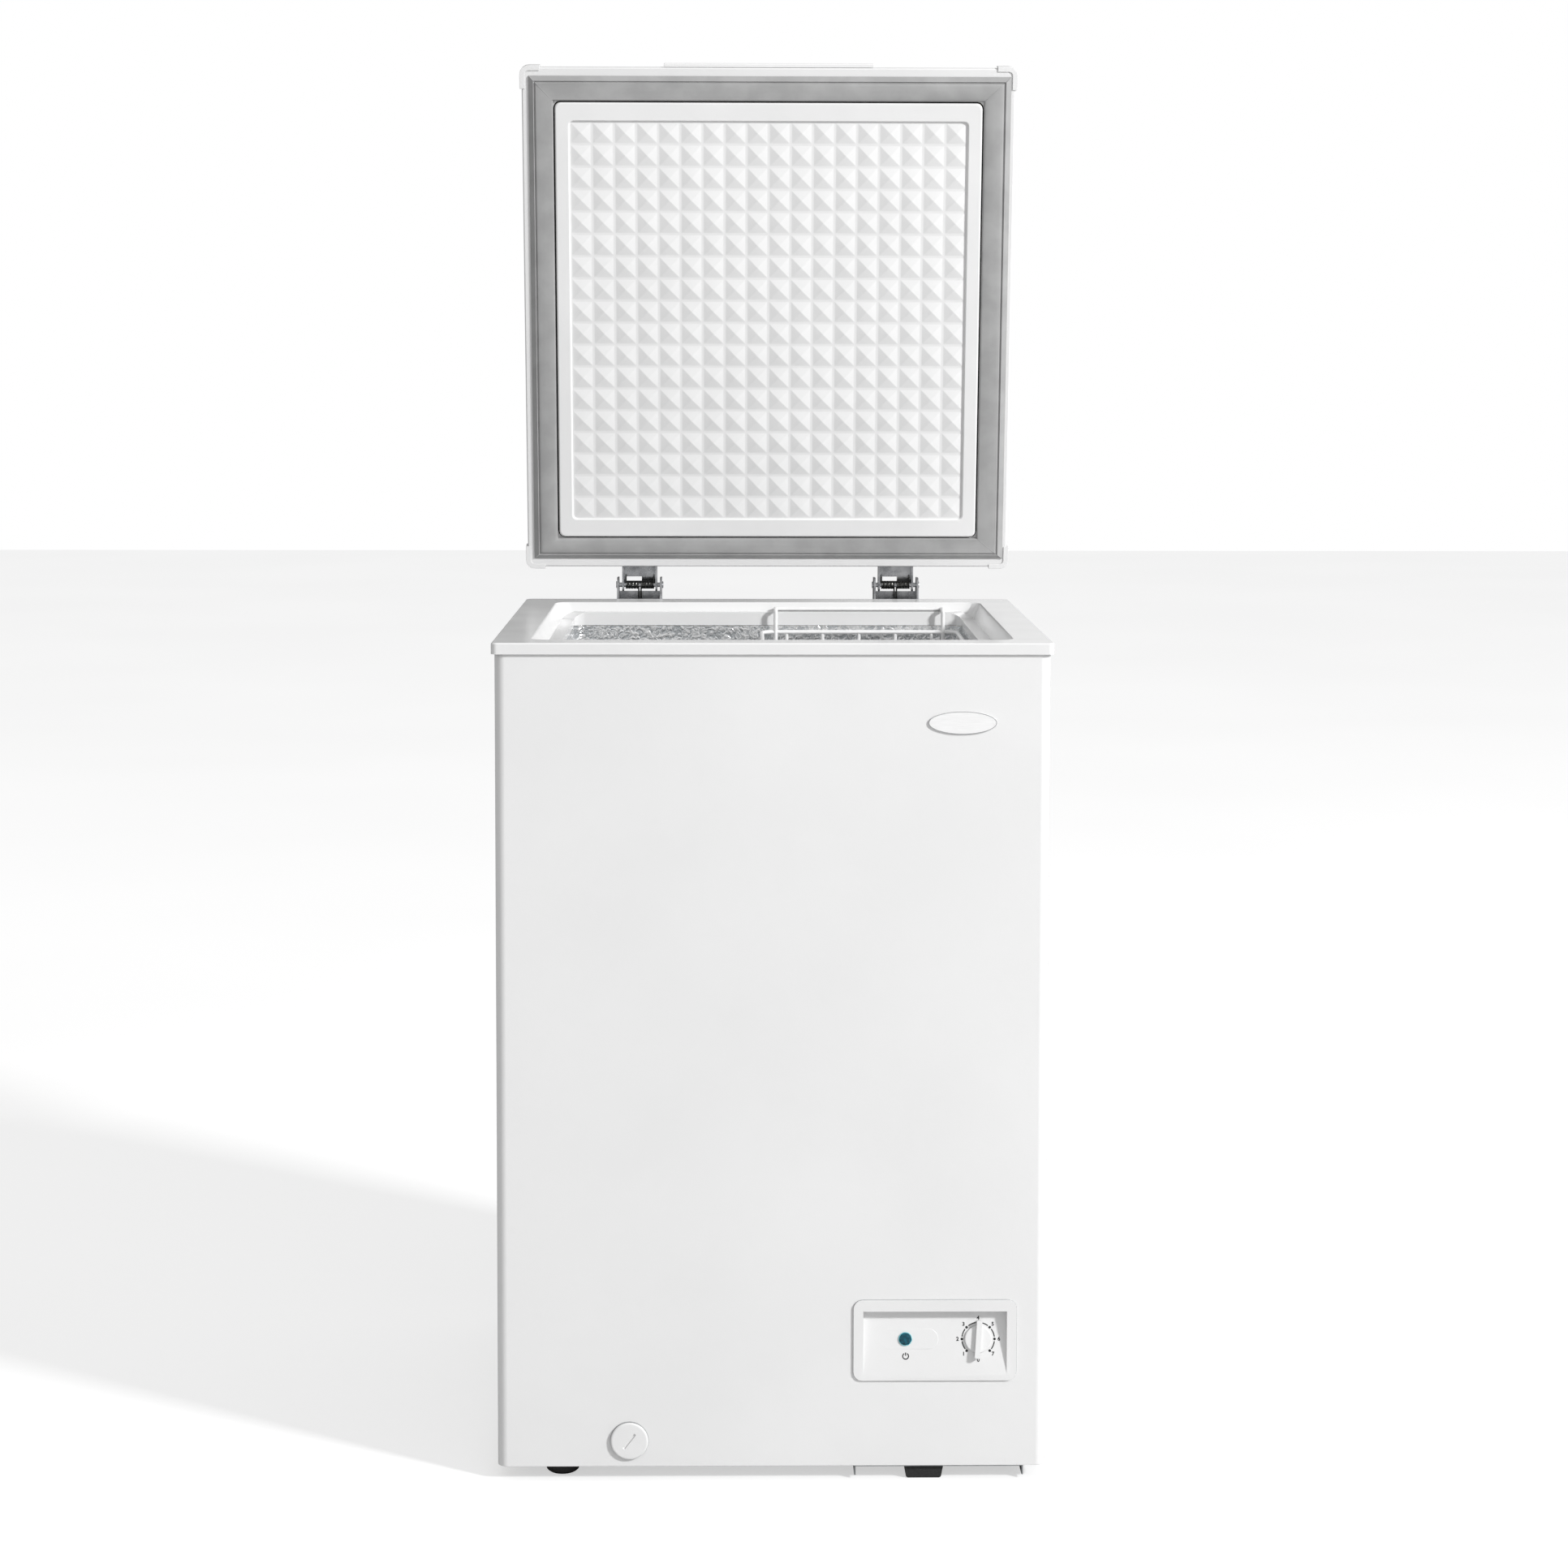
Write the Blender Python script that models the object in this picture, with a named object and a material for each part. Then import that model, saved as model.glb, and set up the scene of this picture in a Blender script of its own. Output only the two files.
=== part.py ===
"""Compact chest freezer with its lid open.

Metres, +Z up, +X to the right seen from the front, +Y to the back. The origin is on the floor,
in the middle of the whole object as it stands with the lid open. Inside this script every
piece is placed from the collar's front face (Y = 0) and the floor (Z = 0), and one empty then
shifts the whole freezer onto the origin.
"""

from math import atan2, cos, pi, radians, sin

import bmesh
import bpy
from mathutils import Matrix, Vector

# Driving dimensions
COLLAR_WIDTH = 0.535
COLLAR_DEPTH = 0.542
COLLAR_TOP = 0.812
LID_WIDTH = 0.532
LID_DEPTH = 0.550
LID_THICKNESS = 0.048
LID_GAP = 0.0068
LID_OPEN_DEG = 81.0
CLEARANCE = 0.0003
SHEET = 0.001
Y_SHIFT = -0.2981  # centres the depth from the knob's grip to the back of the open lid

# Collar
LIP_HEIGHT = 0.011
LIP_THICKNESS = 0.0027
RIM_SIDE = 0.0365
RIM_BACK = 0.050
LEDGE_WIDTH = 0.0135
LEDGE_DROP_SIDE = 0.017
LEDGE_DROP_END = 0.0095
COLLAR_DROP = 0.024
COLLAR_SKIN = 0.0022

# Cabinet
CABINET_INSET = 0.003
CABINET_BASE = 0.014
CORNER_RADIUS = 0.010
HALF_CABINET = COLLAR_WIDTH / 2 - CABINET_INSET
CABINET_BACK = COLLAR_DEPTH - CABINET_INSET
WRAP_TOP = COLLAR_TOP - 0.004

# Cavity and machine bay
LINER_HALF = 0.211
LINER_FRONT = 0.054
LINER_BACK = 0.476
LINER_FLOOR = 0.075
LINER_TOP = COLLAR_TOP - COLLAR_DROP - CLEARANCE
STEP_X = 0.023
STEP_Z = 0.243
LINER_RADIUS = 0.012
COIL_SPACE = 0.0086
BAY_X = 0.0685
BAY_CEILING = 0.198

# Tubes
EVAPORATOR_RADIUS = 0.004
EVAPORATOR_TURNS = 7
CONDENSER_RADIUS = 0.0024
CONDENSER_ROWS = 7
COIL_PITCH = 0.070

# Hinges
HINGE_X = (-0.1423, 0.1433)
PIN_Y = COLLAR_DEPTH + 0.0212
PIN_Z = COLLAR_TOP + 0.014
PIN_RADIUS = 0.0025
PIN_HOLE = 0.00258
LEAF_HALF = 0.0195
BRACKET_HALF = 0.0248
HINGE_SHEET = 0.002

# Lid, in the closed position
LID_BACK = COLLAR_DEPTH - 0.0012
LID_FRONT = LID_BACK - LID_DEPTH
LID_UNDER = COLLAR_TOP + LID_GAP
LID_TOP = LID_UNDER + LID_THICKNESS
PANEL_HALF = 0.2305
PANEL_FRONT = LID_BACK - 0.513
PANEL_BACK = LID_BACK - 0.035
PANEL_BORDER_X = 0.0145
PANEL_BORDER_Y = 0.0193
PANEL_PROUD = 0.005
PANEL_SLOT = 0.0016
GASKET_X = (-0.2586, 0.2614)
GASKET_FRONT = LID_BACK - 0.5412
GASKET_BACK = LID_BACK - 0.0098

# Controls on the front
FRONT_FACE = CABINET_INSET
BEZEL_BOX = (0.0785, 0.2355, 0.0982, 0.1770)
RECESS_BOX = (0.0880, 0.2263, 0.1050, 0.1660)
RECESS_DEPTH = 0.0095
BEZEL_PROUD = 0.0018
DIAL_CENTRE = (0.1990, 0.1375)
LAMP_CENTRE = (0.1286, 0.1377)
KNOB_TILT_DEG = 4.0
SPINDLE_RADIUS = 0.0030
SPINDLE_BORE = 0.00308
DRAIN_CENTRE = (-0.1373, 0.0396)
DRAIN_Y = 0.095
BADGE_CENTRE = (0.1805, 0.7359)

# Basket
BASKET_X = (-0.0093, 0.2079)
BASKET_Y = (0.060, 0.470)
BASKET_RIM = COLLAR_TOP - 0.030
BASKET_HEIGHT = 0.200
WIRE = 0.0036
HANGER_X = (0.0083, 0.1905)

# Feet and base plate
PLATE_X = (0.0797, 0.2432)
PLATE_TOP = CABINET_BASE - 0.0003
PLATE_THICKNESS = 0.0015
PLATE_DROP = 0.0100
PLATE_Y = (0.006, 0.532)
FLANGE_LAP = 0.0030
FOOT_X = -0.203
BLOCK_X = 0.147
BLOCK_Y = (0.026, 0.512)
ROUND_FOOT_Y = (0.0345, 0.505)

# Compressor
COMPRESSOR_AT = (0.160, 0.400)
MOUNT_X = 0.066
MOUNT_Y = 0.062

# Turns that lay a piece modelled along Z on another axis
AXIS_TURNS = {
    "X": Matrix.Rotation(pi / 2, 3, "Y"),
    "Y": Matrix.Rotation(-pi / 2, 3, "X"),
    "Z": Matrix.Identity(3),
}


def clear_scene():
    for item in list(bpy.data.objects):
        bpy.data.objects.remove(item, do_unlink=True)


def make_material(name, colour, roughness, metallic=0.0):
    material = bpy.data.materials.new(name)
    material.use_nodes = True
    shader = material.node_tree.nodes["Principled BSDF"]
    shader.inputs["Base Color"].default_value = (*colour, 1.0)
    shader.inputs["Roughness"].default_value = roughness
    shader.inputs["Metallic"].default_value = metallic
    return material


def make_empty(name, location, parent=None):
    empty = bpy.data.objects.new(name, None)
    empty.location = location
    empty.parent = parent
    bpy.context.collection.objects.link(empty)
    return empty


def add_object(name, bm, material, parent, smooth=True):
    """Turn a bmesh into a named object whose mesh is measured from its parent's origin."""
    bmesh.ops.recalc_face_normals(bm, faces=bm.faces)
    mesh = bpy.data.meshes.new(name)
    bm.to_mesh(mesh)
    bm.free()
    if smooth:
        mesh.shade_smooth()
        mesh.set_sharp_from_angle(angle=radians(35))
    mesh.materials.append(material)
    item = bpy.data.objects.new(name, mesh)
    item.parent = parent
    bpy.context.collection.objects.link(item)
    return item


def box(low, high):
    bm = bmesh.new()
    bmesh.ops.create_cube(bm, size=1.0)
    low = Vector(low)
    high = Vector(high)
    size = high - low
    bmesh.ops.scale(bm, vec=size, verts=bm.verts)
    bmesh.ops.translate(bm, vec=(low + high) / 2, verts=bm.verts)
    return bm


def join(target, other):
    """Add the geometry of one bmesh to another."""
    mesh = bpy.data.meshes.new("joined")
    other.to_mesh(mesh)
    other.free()
    target.from_mesh(mesh)
    bpy.data.meshes.remove(mesh)
    return target


def prism(outline, axis, start, end):
    """Extrude a closed outline along X, Y or Z. The outline gives the other two coordinates."""
    bm = bmesh.new()
    place = "XYZ".index(axis)
    verts = []
    for point in outline:
        corner = list(point)
        corner.insert(place, start)
        verts.append(bm.verts.new(corner))
    face = bm.faces.new(verts)
    extruded = bmesh.ops.extrude_face_region(bm, geom=[face])
    moved = [element for element in extruded["geom"] if isinstance(element, bmesh.types.BMVert)]
    shift = Vector((0, 0, 0))
    shift[place] = end - start
    bmesh.ops.translate(bm, vec=shift, verts=moved)
    return bm


def rounded_outline(x0, x1, y0, y1, radius, steps=3):
    """Corner points of a rectangle with round corners, anticlockwise."""
    points = []
    corners = ((x1, y1, 0), (x0, y1, 90), (x0, y0, 180), (x1, y0, 270))
    for x, y, start in corners:
        cx = x - radius if x == x1 else x + radius
        cy = y - radius if y == y1 else y + radius
        for step in range(steps + 1):
            angle = radians(start + 90 * step / steps)
            points.append((cx + radius * cos(angle), cy + radius * sin(angle)))
    return points


def ring(loops):
    """Close a list of equally long vertex loops into one tube-like frame."""
    bm = bmesh.new()
    rows = [[bm.verts.new(point) for point in loop] for loop in loops]
    count = len(rows[0])
    for row, following in zip(rows, rows[1:] + rows[:1]):
        for index in range(count):
            after = (index + 1) % count
            bm.faces.new((row[index], row[after], following[after], following[index]))
    return bm


def cylinder(radius, start, end, axis="Z", centre=(0.0, 0.0), segments=24):
    """A round bar along an axis; centre gives the two other coordinates in order."""
    bm = bmesh.new()
    bmesh.ops.create_cone(
        bm, cap_ends=True, segments=segments, radius1=radius, radius2=radius, depth=abs(end - start)
    )
    at = list(centre)
    at.insert("XYZ".index(axis), (start + end) / 2)
    bmesh.ops.rotate(bm, cent=(0, 0, 0), matrix=AXIS_TURNS[axis], verts=bm.verts)
    bmesh.ops.translate(bm, vec=at, verts=bm.verts)
    return bm


def turned(profile, axis, centre, segments=24):
    """Spin a profile of (radius, distance along the axis) round an axis.

    A profile that starts and ends on the axis makes a solid; one that doesn't is closed on
    itself and makes a ring.
    """
    bm = bmesh.new()
    solid = profile[0][0] == 0.0
    points = profile if solid else profile + profile[:1]
    verts = [bm.verts.new((radius, 0.0, distance)) for radius, distance in points]
    edges = [bm.edges.new(pair) for pair in zip(verts, verts[1:])]
    bmesh.ops.spin(
        bm, geom=verts + edges, cent=(0, 0, 0), axis=(0, 0, 1), angle=2 * pi, steps=segments, use_merge=True
    )
    bmesh.ops.remove_doubles(bm, verts=bm.verts, dist=0.00001)
    bmesh.ops.rotate(bm, cent=(0, 0, 0), matrix=AXIS_TURNS[axis], verts=bm.verts)
    bmesh.ops.translate(bm, vec=centre, verts=bm.verts)
    return bm


def combine(item, bm, operation):
    """Boolean an object with a hidden helper solid made from a bmesh."""
    bmesh.ops.recalc_face_normals(bm, faces=bm.faces)
    mesh = bpy.data.meshes.new(f"{item.name}_helper")
    bm.to_mesh(mesh)
    bm.free()
    helper = bpy.data.objects.new(mesh.name, mesh)
    helper.parent = item.parent
    helper.hide_render = True
    helper.display_type = "WIRE"
    bpy.context.collection.objects.link(helper)
    boolean = item.modifiers.new(operation.lower(), "BOOLEAN")
    boolean.operation = operation
    boolean.solver = "EXACT"
    boolean.object = helper


def cut(item, bm):
    combine(item, bm, "DIFFERENCE")


def unite(item, bm):
    combine(item, bm, "UNION")


def tube(name, points, radius, material, parent, resolution=2):
    """A round tube along a list of points, with closed ends."""
    curve = bpy.data.curves.new(name, "CURVE")
    curve.dimensions = "3D"
    curve.bevel_depth = radius
    curve.bevel_resolution = resolution
    curve.use_fill_caps = True
    spline = curve.splines.new("POLY")
    spline.points.add(len(points) - 1)
    for target, point in zip(spline.points, points):
        target.co = (*point, 1.0)
    curve.materials.append(material)
    item = bpy.data.objects.new(name, curve)
    item.parent = parent
    bpy.context.collection.objects.link(item)
    return item


def rounded_path(corners, radius, steps=3):
    """Replace each inner corner of a path by a short arc-like bend."""
    points = [Vector(corners[0])]
    for before, corner, after in zip(corners, corners[1:], corners[2:]):
        corner = Vector(corner)
        start = corner + (Vector(before) - corner).normalized() * radius
        end = corner + (Vector(after) - corner).normalized() * radius
        for step in range(steps + 1):
            t = step / steps
            points.append(start.lerp(corner, t).lerp(corner.lerp(end, t), t))
    points.append(Vector(corners[-1]))
    return points


def round_edges(bm, edges, radius, segments):
    bmesh.ops.bevel(
        bm, geom=edges, offset=radius, segments=segments, profile=0.5, affect="EDGES", material=-1
    )


def inner_loop(side, front, back, radius, height_side, height_end, steps=3):
    """A rounded rectangle whose sides lie at one height and whose ends at another."""
    points = []
    outline = rounded_outline(-side, side, front, back, radius, steps)
    for index, (x, y) in enumerate(outline):
        corner, step = divmod(index, steps + 1)
        t = step / steps if corner % 2 == 0 else 1 - step / steps
        points.append((x, y, height_side + (height_end - height_side) * t))
    return points


def level_loop(side, front, back, radius, height, steps=3):
    return [(x, y, height) for x, y in rounded_outline(-side, side, front, back, radius, steps)]


def make_collar(material, parent):
    top = COLLAR_TOP
    half = COLLAR_WIDTH / 2
    depth = COLLAR_DEPTH
    soft = 0.0012
    mouth = half - RIM_SIDE
    wall_x = mouth - 0.0065
    wall_back = depth - RIM_BACK - 0.003
    wall_front = RIM_SIDE + 0.003
    ledge_x = wall_x - LEDGE_WIDTH
    ledge_back = wall_back - LEDGE_WIDTH + 0.001
    ledge_front = wall_front + LEDGE_WIDTH
    side_z = top - LEDGE_DROP_SIDE
    end_z = top - LEDGE_DROP_END
    skin = COLLAR_SKIN
    groove = LIP_THICKNESS
    under = top - 0.0032
    undersides = (side_z - skin, end_z - skin)
    loops = [
        level_loop(half, 0, depth, 0.006, top - LIP_HEIGHT),
        level_loop(half, 0, depth, 0.006, top - soft),
        level_loop(half - soft, soft, depth - soft, 0.005, top),
        level_loop(mouth + soft, RIM_SIDE - soft, depth - RIM_BACK + soft, 0.016, top),
        level_loop(mouth, RIM_SIDE, depth - RIM_BACK, 0.015, top - soft),
        inner_loop(wall_x, wall_front, wall_back, 0.013, side_z, end_z),
        inner_loop(ledge_x, ledge_front, ledge_back, 0.012, side_z, end_z),
        level_loop(ledge_x, ledge_front, ledge_back, 0.012, top - COLLAR_DROP),
        level_loop(ledge_x + skin, ledge_front - skin, ledge_back + skin, 0.012, top - COLLAR_DROP),
        inner_loop(ledge_x + skin, ledge_front - skin, ledge_back + skin, 0.012, *undersides),
        inner_loop(wall_x + skin, wall_front - skin, wall_back + skin, 0.013, *undersides),
        level_loop(mouth + skin, RIM_SIDE - skin, depth - RIM_BACK + skin, 0.015, under),
        level_loop(half - groove, groove, depth - groove, 0.0002, under),
        level_loop(half - groove, groove, depth - groove, 0.0002, top - LIP_HEIGHT),
    ]
    add_object("top_collar", ring(loops), material, parent)


def make_wrap(material, parent):
    """Front and two sides from one sheet, bent round at the two upright front edges."""
    outer = wrap_outline(0.0)
    inner = wrap_outline(SHEET)
    outline = outer + inner[::-1]
    wrap = add_object("cabinet_wrap", prism(outline, "Z", CABINET_BASE, WRAP_TOP), material, parent)
    x0, x1, z0, z1 = BEZEL_BOX
    edge = 0.0050
    cut(wrap, box((x0 + edge, -0.01, z0 + edge), (x1 - edge, 0.02, z1 - edge)))
    cut(wrap, cylinder(0.0150, -0.01, 0.02, "Y", DRAIN_CENTRE))


def wrap_outline(inset):
    """The wrap's plan from the right rear edge, round the front, to the left rear edge."""
    half = HALF_CABINET - inset
    front = FRONT_FACE + inset
    radius = CORNER_RADIUS - inset
    points = [(half, CABINET_BACK - 0.0013)]
    for centre_x, start in ((half - radius, 0), (-half + radius, -90)):
        for step in range(5):
            angle = radians(start - 90 * step / 4)
            points.append((centre_x + radius * cos(angle), front + radius + radius * sin(angle)))
    points.append((-half, CABINET_BACK - 0.0013))
    return points


def make_back_panel(material, parent):
    half = HALF_CABINET
    panel = add_object(
        "back_panel",
        box((-half, CABINET_BACK - SHEET, CABINET_BASE), (half, CABINET_BACK, WRAP_TOP)),
        material,
        parent,
    )
    cut(panel, box((BAY_X + 0.012, 0.50, CABINET_BASE + 0.010), (half - 0.014, 0.60, BAY_CEILING - 0.012)))
    for hinge_x in HINGE_X:
        for side in (-1, 1):
            cut(panel, cylinder(0.0028, 0.50, 0.60, "Y", (hinge_x + side * 0.0330, COLLAR_TOP - 0.050), 12))


def make_bottom_panel(material, parent):
    half = HALF_CABINET - SHEET - CLEARANCE
    front = FRONT_FACE + SHEET + CLEARANCE
    right = BAY_X - CLEARANCE
    back = CABINET_BACK - SHEET - CLEARANCE
    low = CABINET_BASE
    outline = [
        (-half + CORNER_RADIUS, low),
        (right, low),
        (right, low + 0.012),
        (right - SHEET, low + 0.012),
        (right - SHEET, low + SHEET),
        (-half + CORNER_RADIUS, low + SHEET),
    ]
    add_object("bottom_panel", prism(outline, "Y", front, back), material, parent, smooth=False)


def make_bay_panel(material, parent):
    """The sheet tunnel round the machine bay, with two flanges that carry the base plate."""
    front = FRONT_FACE + SHEET + CLEARANCE
    back = CABINET_BACK - SHEET - CLEARANCE
    right = HALF_CABINET - SHEET - CLEARANCE
    low = CABINET_BASE
    inside = low + SHEET
    roof = BAY_CEILING - SHEET
    left_flange = PLATE_X[0] + FLANGE_LAP
    right_flange = PLATE_X[1] - FLANGE_LAP
    outline = [
        (BAY_X, low),
        (left_flange, low),
        (left_flange, inside),
        (BAY_X + SHEET, inside),
        (BAY_X + SHEET, roof),
        (right - SHEET, roof),
        (right - SHEET, inside),
        (right_flange, inside),
        (right_flange, low),
        (right, low),
        (right, BAY_CEILING),
        (BAY_X, BAY_CEILING),
    ]
    tunnel = prism(outline, "Y", front + CORNER_RADIUS, back)
    add_object("machine_bay_panel", tunnel, material, parent, smooth=False)


def stepped_outline(grow, top):
    """The cavity's outline seen from the front, grown outwards by a distance."""
    left = -LINER_HALF - grow
    right = LINER_HALF + grow
    return [
        (left, LINER_FLOOR - grow),
        (STEP_X + grow, LINER_FLOOR - grow),
        (STEP_X + grow, STEP_Z - grow),
        (right, STEP_Z - grow),
        (right, top),
        (left, top),
    ]


def make_foam(material, parent):
    outer_x = HALF_CABINET - SHEET - 0.0062
    front = FRONT_FACE + SHEET + 0.0062
    back = CABINET_BACK - SHEET - CLEARANCE
    base = CABINET_BASE + SHEET + CLEARANCE
    top = COLLAR_TOP - 0.026
    bay_x = BAY_X - CLEARANCE
    bay_z = BAY_CEILING + CLEARANCE
    left = -outer_x
    outline = [
        (left, base),
        (bay_x - 0.0015, base),
        (bay_x - 0.0015, bay_z),
        (outer_x, bay_z),
        (outer_x, top),
        (left, top),
    ]
    block = prism(outline, "Y", front, back)
    round_uprights(block, 0.006, 1)
    foam = add_object("cabinet_foam", block, material, parent, smooth=False)
    grow = SHEET + COIL_SPACE
    hollow = stepped_outline(grow, top + 0.05)
    hollow[0] = (hollow[0][0], LINER_FLOOR - SHEET - CLEARANCE)
    hollow[1] = (hollow[1][0], LINER_FLOOR - SHEET - CLEARANCE)
    cut(foam, prism(hollow, "Y", LINER_FRONT - grow, LINER_BACK + grow))
    cut(foam, cylinder(0.0125, -0.01, DRAIN_Y + 0.0125, "Y", DRAIN_CENTRE, 16))
    cut(foam, cylinder(0.0120, DRAIN_CENTRE[1], 0.10, "Z", (DRAIN_CENTRE[0], DRAIN_Y), 16))


def make_liner(material, parent):
    """A thin aluminium tub, stepped over the machine bay, with round upright corners."""
    outer = prism(stepped_outline(SHEET, LINER_TOP), "Y", LINER_FRONT - SHEET, LINER_BACK + SHEET)
    round_uprights(outer, LINER_RADIUS + SHEET)
    liner = add_object("inner_liner", outer, material, parent)
    inner = prism(stepped_outline(0.0, LINER_TOP + 0.05), "Y", LINER_FRONT, LINER_BACK)
    round_uprights(inner, LINER_RADIUS)
    cut(liner, inner)
    cut(liner, cylinder(0.0105, 0.06, 0.09, "Z", (DRAIN_CENTRE[0], DRAIN_Y), 16))


def round_uprights(bm, radius, segments=3):
    uprights = []
    for edge in bm.edges:
        ends = [vert.co for vert in edge.verts]
        if abs(ends[0].x - ends[1].x) < 0.0001 and abs(ends[0].y - ends[1].y) < 0.0001:
            uprights.append(edge)
    round_edges(bm, uprights, radius, segments)


def make_evaporator(material, parent):
    """A tube wound round the tub in a flat-sided spiral."""
    offset = SHEET + COIL_SPACE / 2
    half = LINER_HALF + offset
    front = LINER_FRONT - offset
    back = LINER_BACK + offset
    start = STEP_Z + 0.030
    corners = [(-half, back - 0.060, start)]
    plan = ((-half, front), (half, front), (half, back), (-half, back))
    for turn in range(EVAPORATOR_TURNS):
        for index, (x, y) in enumerate(plan):
            corners.append((x, y, start + COIL_PITCH * (turn + (index + 0.5) / 4)))
    corners.append((-half, front + 0.060, start + COIL_PITCH * (EVAPORATOR_TURNS + 0.1)))
    points = rounded_path(corners, 0.016, 2)
    tube("evaporator_coil", points, EVAPORATOR_RADIUS, material, parent, 1)


def make_condenser(material, parent):
    """A tube laid to and fro behind the two sides and the front of the wrap."""
    offset = SHEET + 0.0031
    half = HALF_CABINET - offset
    front = FRONT_FACE + offset
    back = CABINET_BACK - 0.045
    start = STEP_Z + 0.035
    corners = []
    for row in range(CONDENSER_ROWS):
        z = start + COIL_PITCH * row
        ends = [(half, back, z), (half, front, z), (-half, front, z), (-half, back, z)]
        corners += ends if row % 2 == 0 else ends[::-1]
    points = rounded_path(corners, 0.008, 2)
    tube("condenser_coil", points, CONDENSER_RADIUS, material, parent, 1)


def make_base_plate(material, parent):
    """A galvanised plate under the machine bay with its two long edges turned down."""
    x0, x1 = PLATE_X
    thick = PLATE_THICKNESS
    drop = PLATE_DROP
    top = PLATE_TOP
    outline = [
        (x0, top),
        (x0, top - drop),
        (x0 + thick, top - drop),
        (x0 + thick, top - thick),
        (x1 - thick, top - thick),
        (x1 - thick, top - drop),
        (x1, top - drop),
        (x1, top),
    ]
    bent = prism(outline, "Y", *PLATE_Y)
    plate = add_object("compressor_base_plate", bent, material, parent, smooth=False)
    for y in BLOCK_Y:
        cut(plate, cylinder(0.0042, 0.0, 0.05, "Z", (BLOCK_X, y), 12))


def make_feet(rubber, parent):
    for label, y in zip(("front", "rear"), ROUND_FOOT_Y):
        profile = [(0.0, 0.0), (0.0125, 0.0), (0.0155, 0.0022), (0.0165, 0.0050)]
        profile += [(0.0165, CABINET_BASE - CLEARANCE), (0.0, CABINET_BASE - CLEARANCE)]
        add_object(f"round_foot_{label}", turned(profile, "Z", (FOOT_X, y, 0.0), 28), rubber, parent)
    top = PLATE_TOP - PLATE_THICKNESS - CLEARANCE
    half = 0.018
    left_side = [(-0.0190, top), (-0.0170, 0.0012), (-0.0155, 0.0)]
    outline = left_side + [(-x, z) for x, z in left_side[::-1]]
    for label, y in zip(("front", "rear"), BLOCK_Y):
        moved = [(BLOCK_X + x, z) for x, z in outline]
        block = prism(moved, "Y", y - half, y + half)
        foot = add_object(f"block_foot_{label}", block, rubber, parent, False)
        unite(foot, cylinder(0.0036, 0.005, 0.0205, "Z", (BLOCK_X, y), 12))


def make_compressor(black, rubber, parent):
    x, y = COMPRESSOR_AT
    low = 0.0340
    profile = [
        (0.0, low),
        (0.052, low + 0.002),
        (0.066, low + 0.016),
        (0.070, low + 0.034),
        (0.070, low + 0.058),
        (0.0725, low + 0.060),
        (0.0725, low + 0.064),
        (0.069, low + 0.066),
        (0.069, low + 0.092),
        (0.062, low + 0.114),
        (0.044, low + 0.129),
        (0.0, low + 0.136),
    ]
    shell = add_object("compressor", turned(profile, "Z", (x, y, 0.0), 28), black, parent)
    seat = low + 0.0040
    reach = MOUNT_X + 0.014
    for side in (-MOUNT_Y, MOUNT_Y):
        outline = rounded_outline(-reach, reach, side - 0.014, side + 0.014, 0.010, 2)
        unite(shell, prism([(x + px, y + py) for px, py in outline], "Z", seat, seat + 0.0025))
    mounts = [(x + dx, y + dy) for dx in (-MOUNT_X, MOUNT_X) for dy in (-MOUNT_Y, MOUNT_Y)]
    for at in mounts:
        cut(shell, cylinder(0.0070, 0.0, low + 0.02, "Z", at, 12))
    unite(shell, cylinder(0.0050, x - 0.080, x - 0.060, "X", (y + 0.020, low + 0.080), 10))
    profile = [
        (0.0035, PLATE_TOP + CLEARANCE),
        (0.0105, PLATE_TOP + CLEARANCE),
        (0.0105, seat - CLEARANCE),
        (0.0062, seat - CLEARANCE),
        (0.0062, seat + 0.0034),
        (0.0086, seat + 0.0034),
        (0.0080, seat + 0.0060),
        (0.0035, seat + 0.0060),
    ]
    for number, (mount_x, mount_y) in enumerate(mounts, 1):
        grommet = turned(profile, "Z", (mount_x, mount_y, 0.0), 16)
        add_object(f"compressor_grommet_{number}", grommet, rubber, parent)


def make_bay_parts(black, copper, parent):
    """Relay box, drier and the suction line beside the compressor."""
    x, y = COMPRESSOR_AT
    relay = box((x - 0.028, y - 0.108, 0.078), (x + 0.028, y - 0.0735, 0.128))
    round_edges(relay, relay.edges[:], 0.003, 2)
    add_object("start_relay", relay, black, parent)
    profile = [(0.0, 0.0), (0.0030, 0.0), (0.0034, 0.012), (0.0095, 0.020)]
    profile += [(0.0095, 0.085), (0.0034, 0.094), (0.0026, 0.106), (0.0, 0.106)]
    add_object("filter_drier", turned(profile, "Z", (BAY_X + 0.020, 0.500, 0.060), 16), copper, parent)
    ceiling = BAY_CEILING - SHEET - 0.002
    port = (x - 0.0805, y + 0.020, 0.114)
    corners = [port, (BAY_X + 0.006, port[1], port[2]), (BAY_X + 0.006, port[1], ceiling)]
    tube("suction_line", rounded_path(corners, 0.004), 0.0036, copper, parent, 1)


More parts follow.
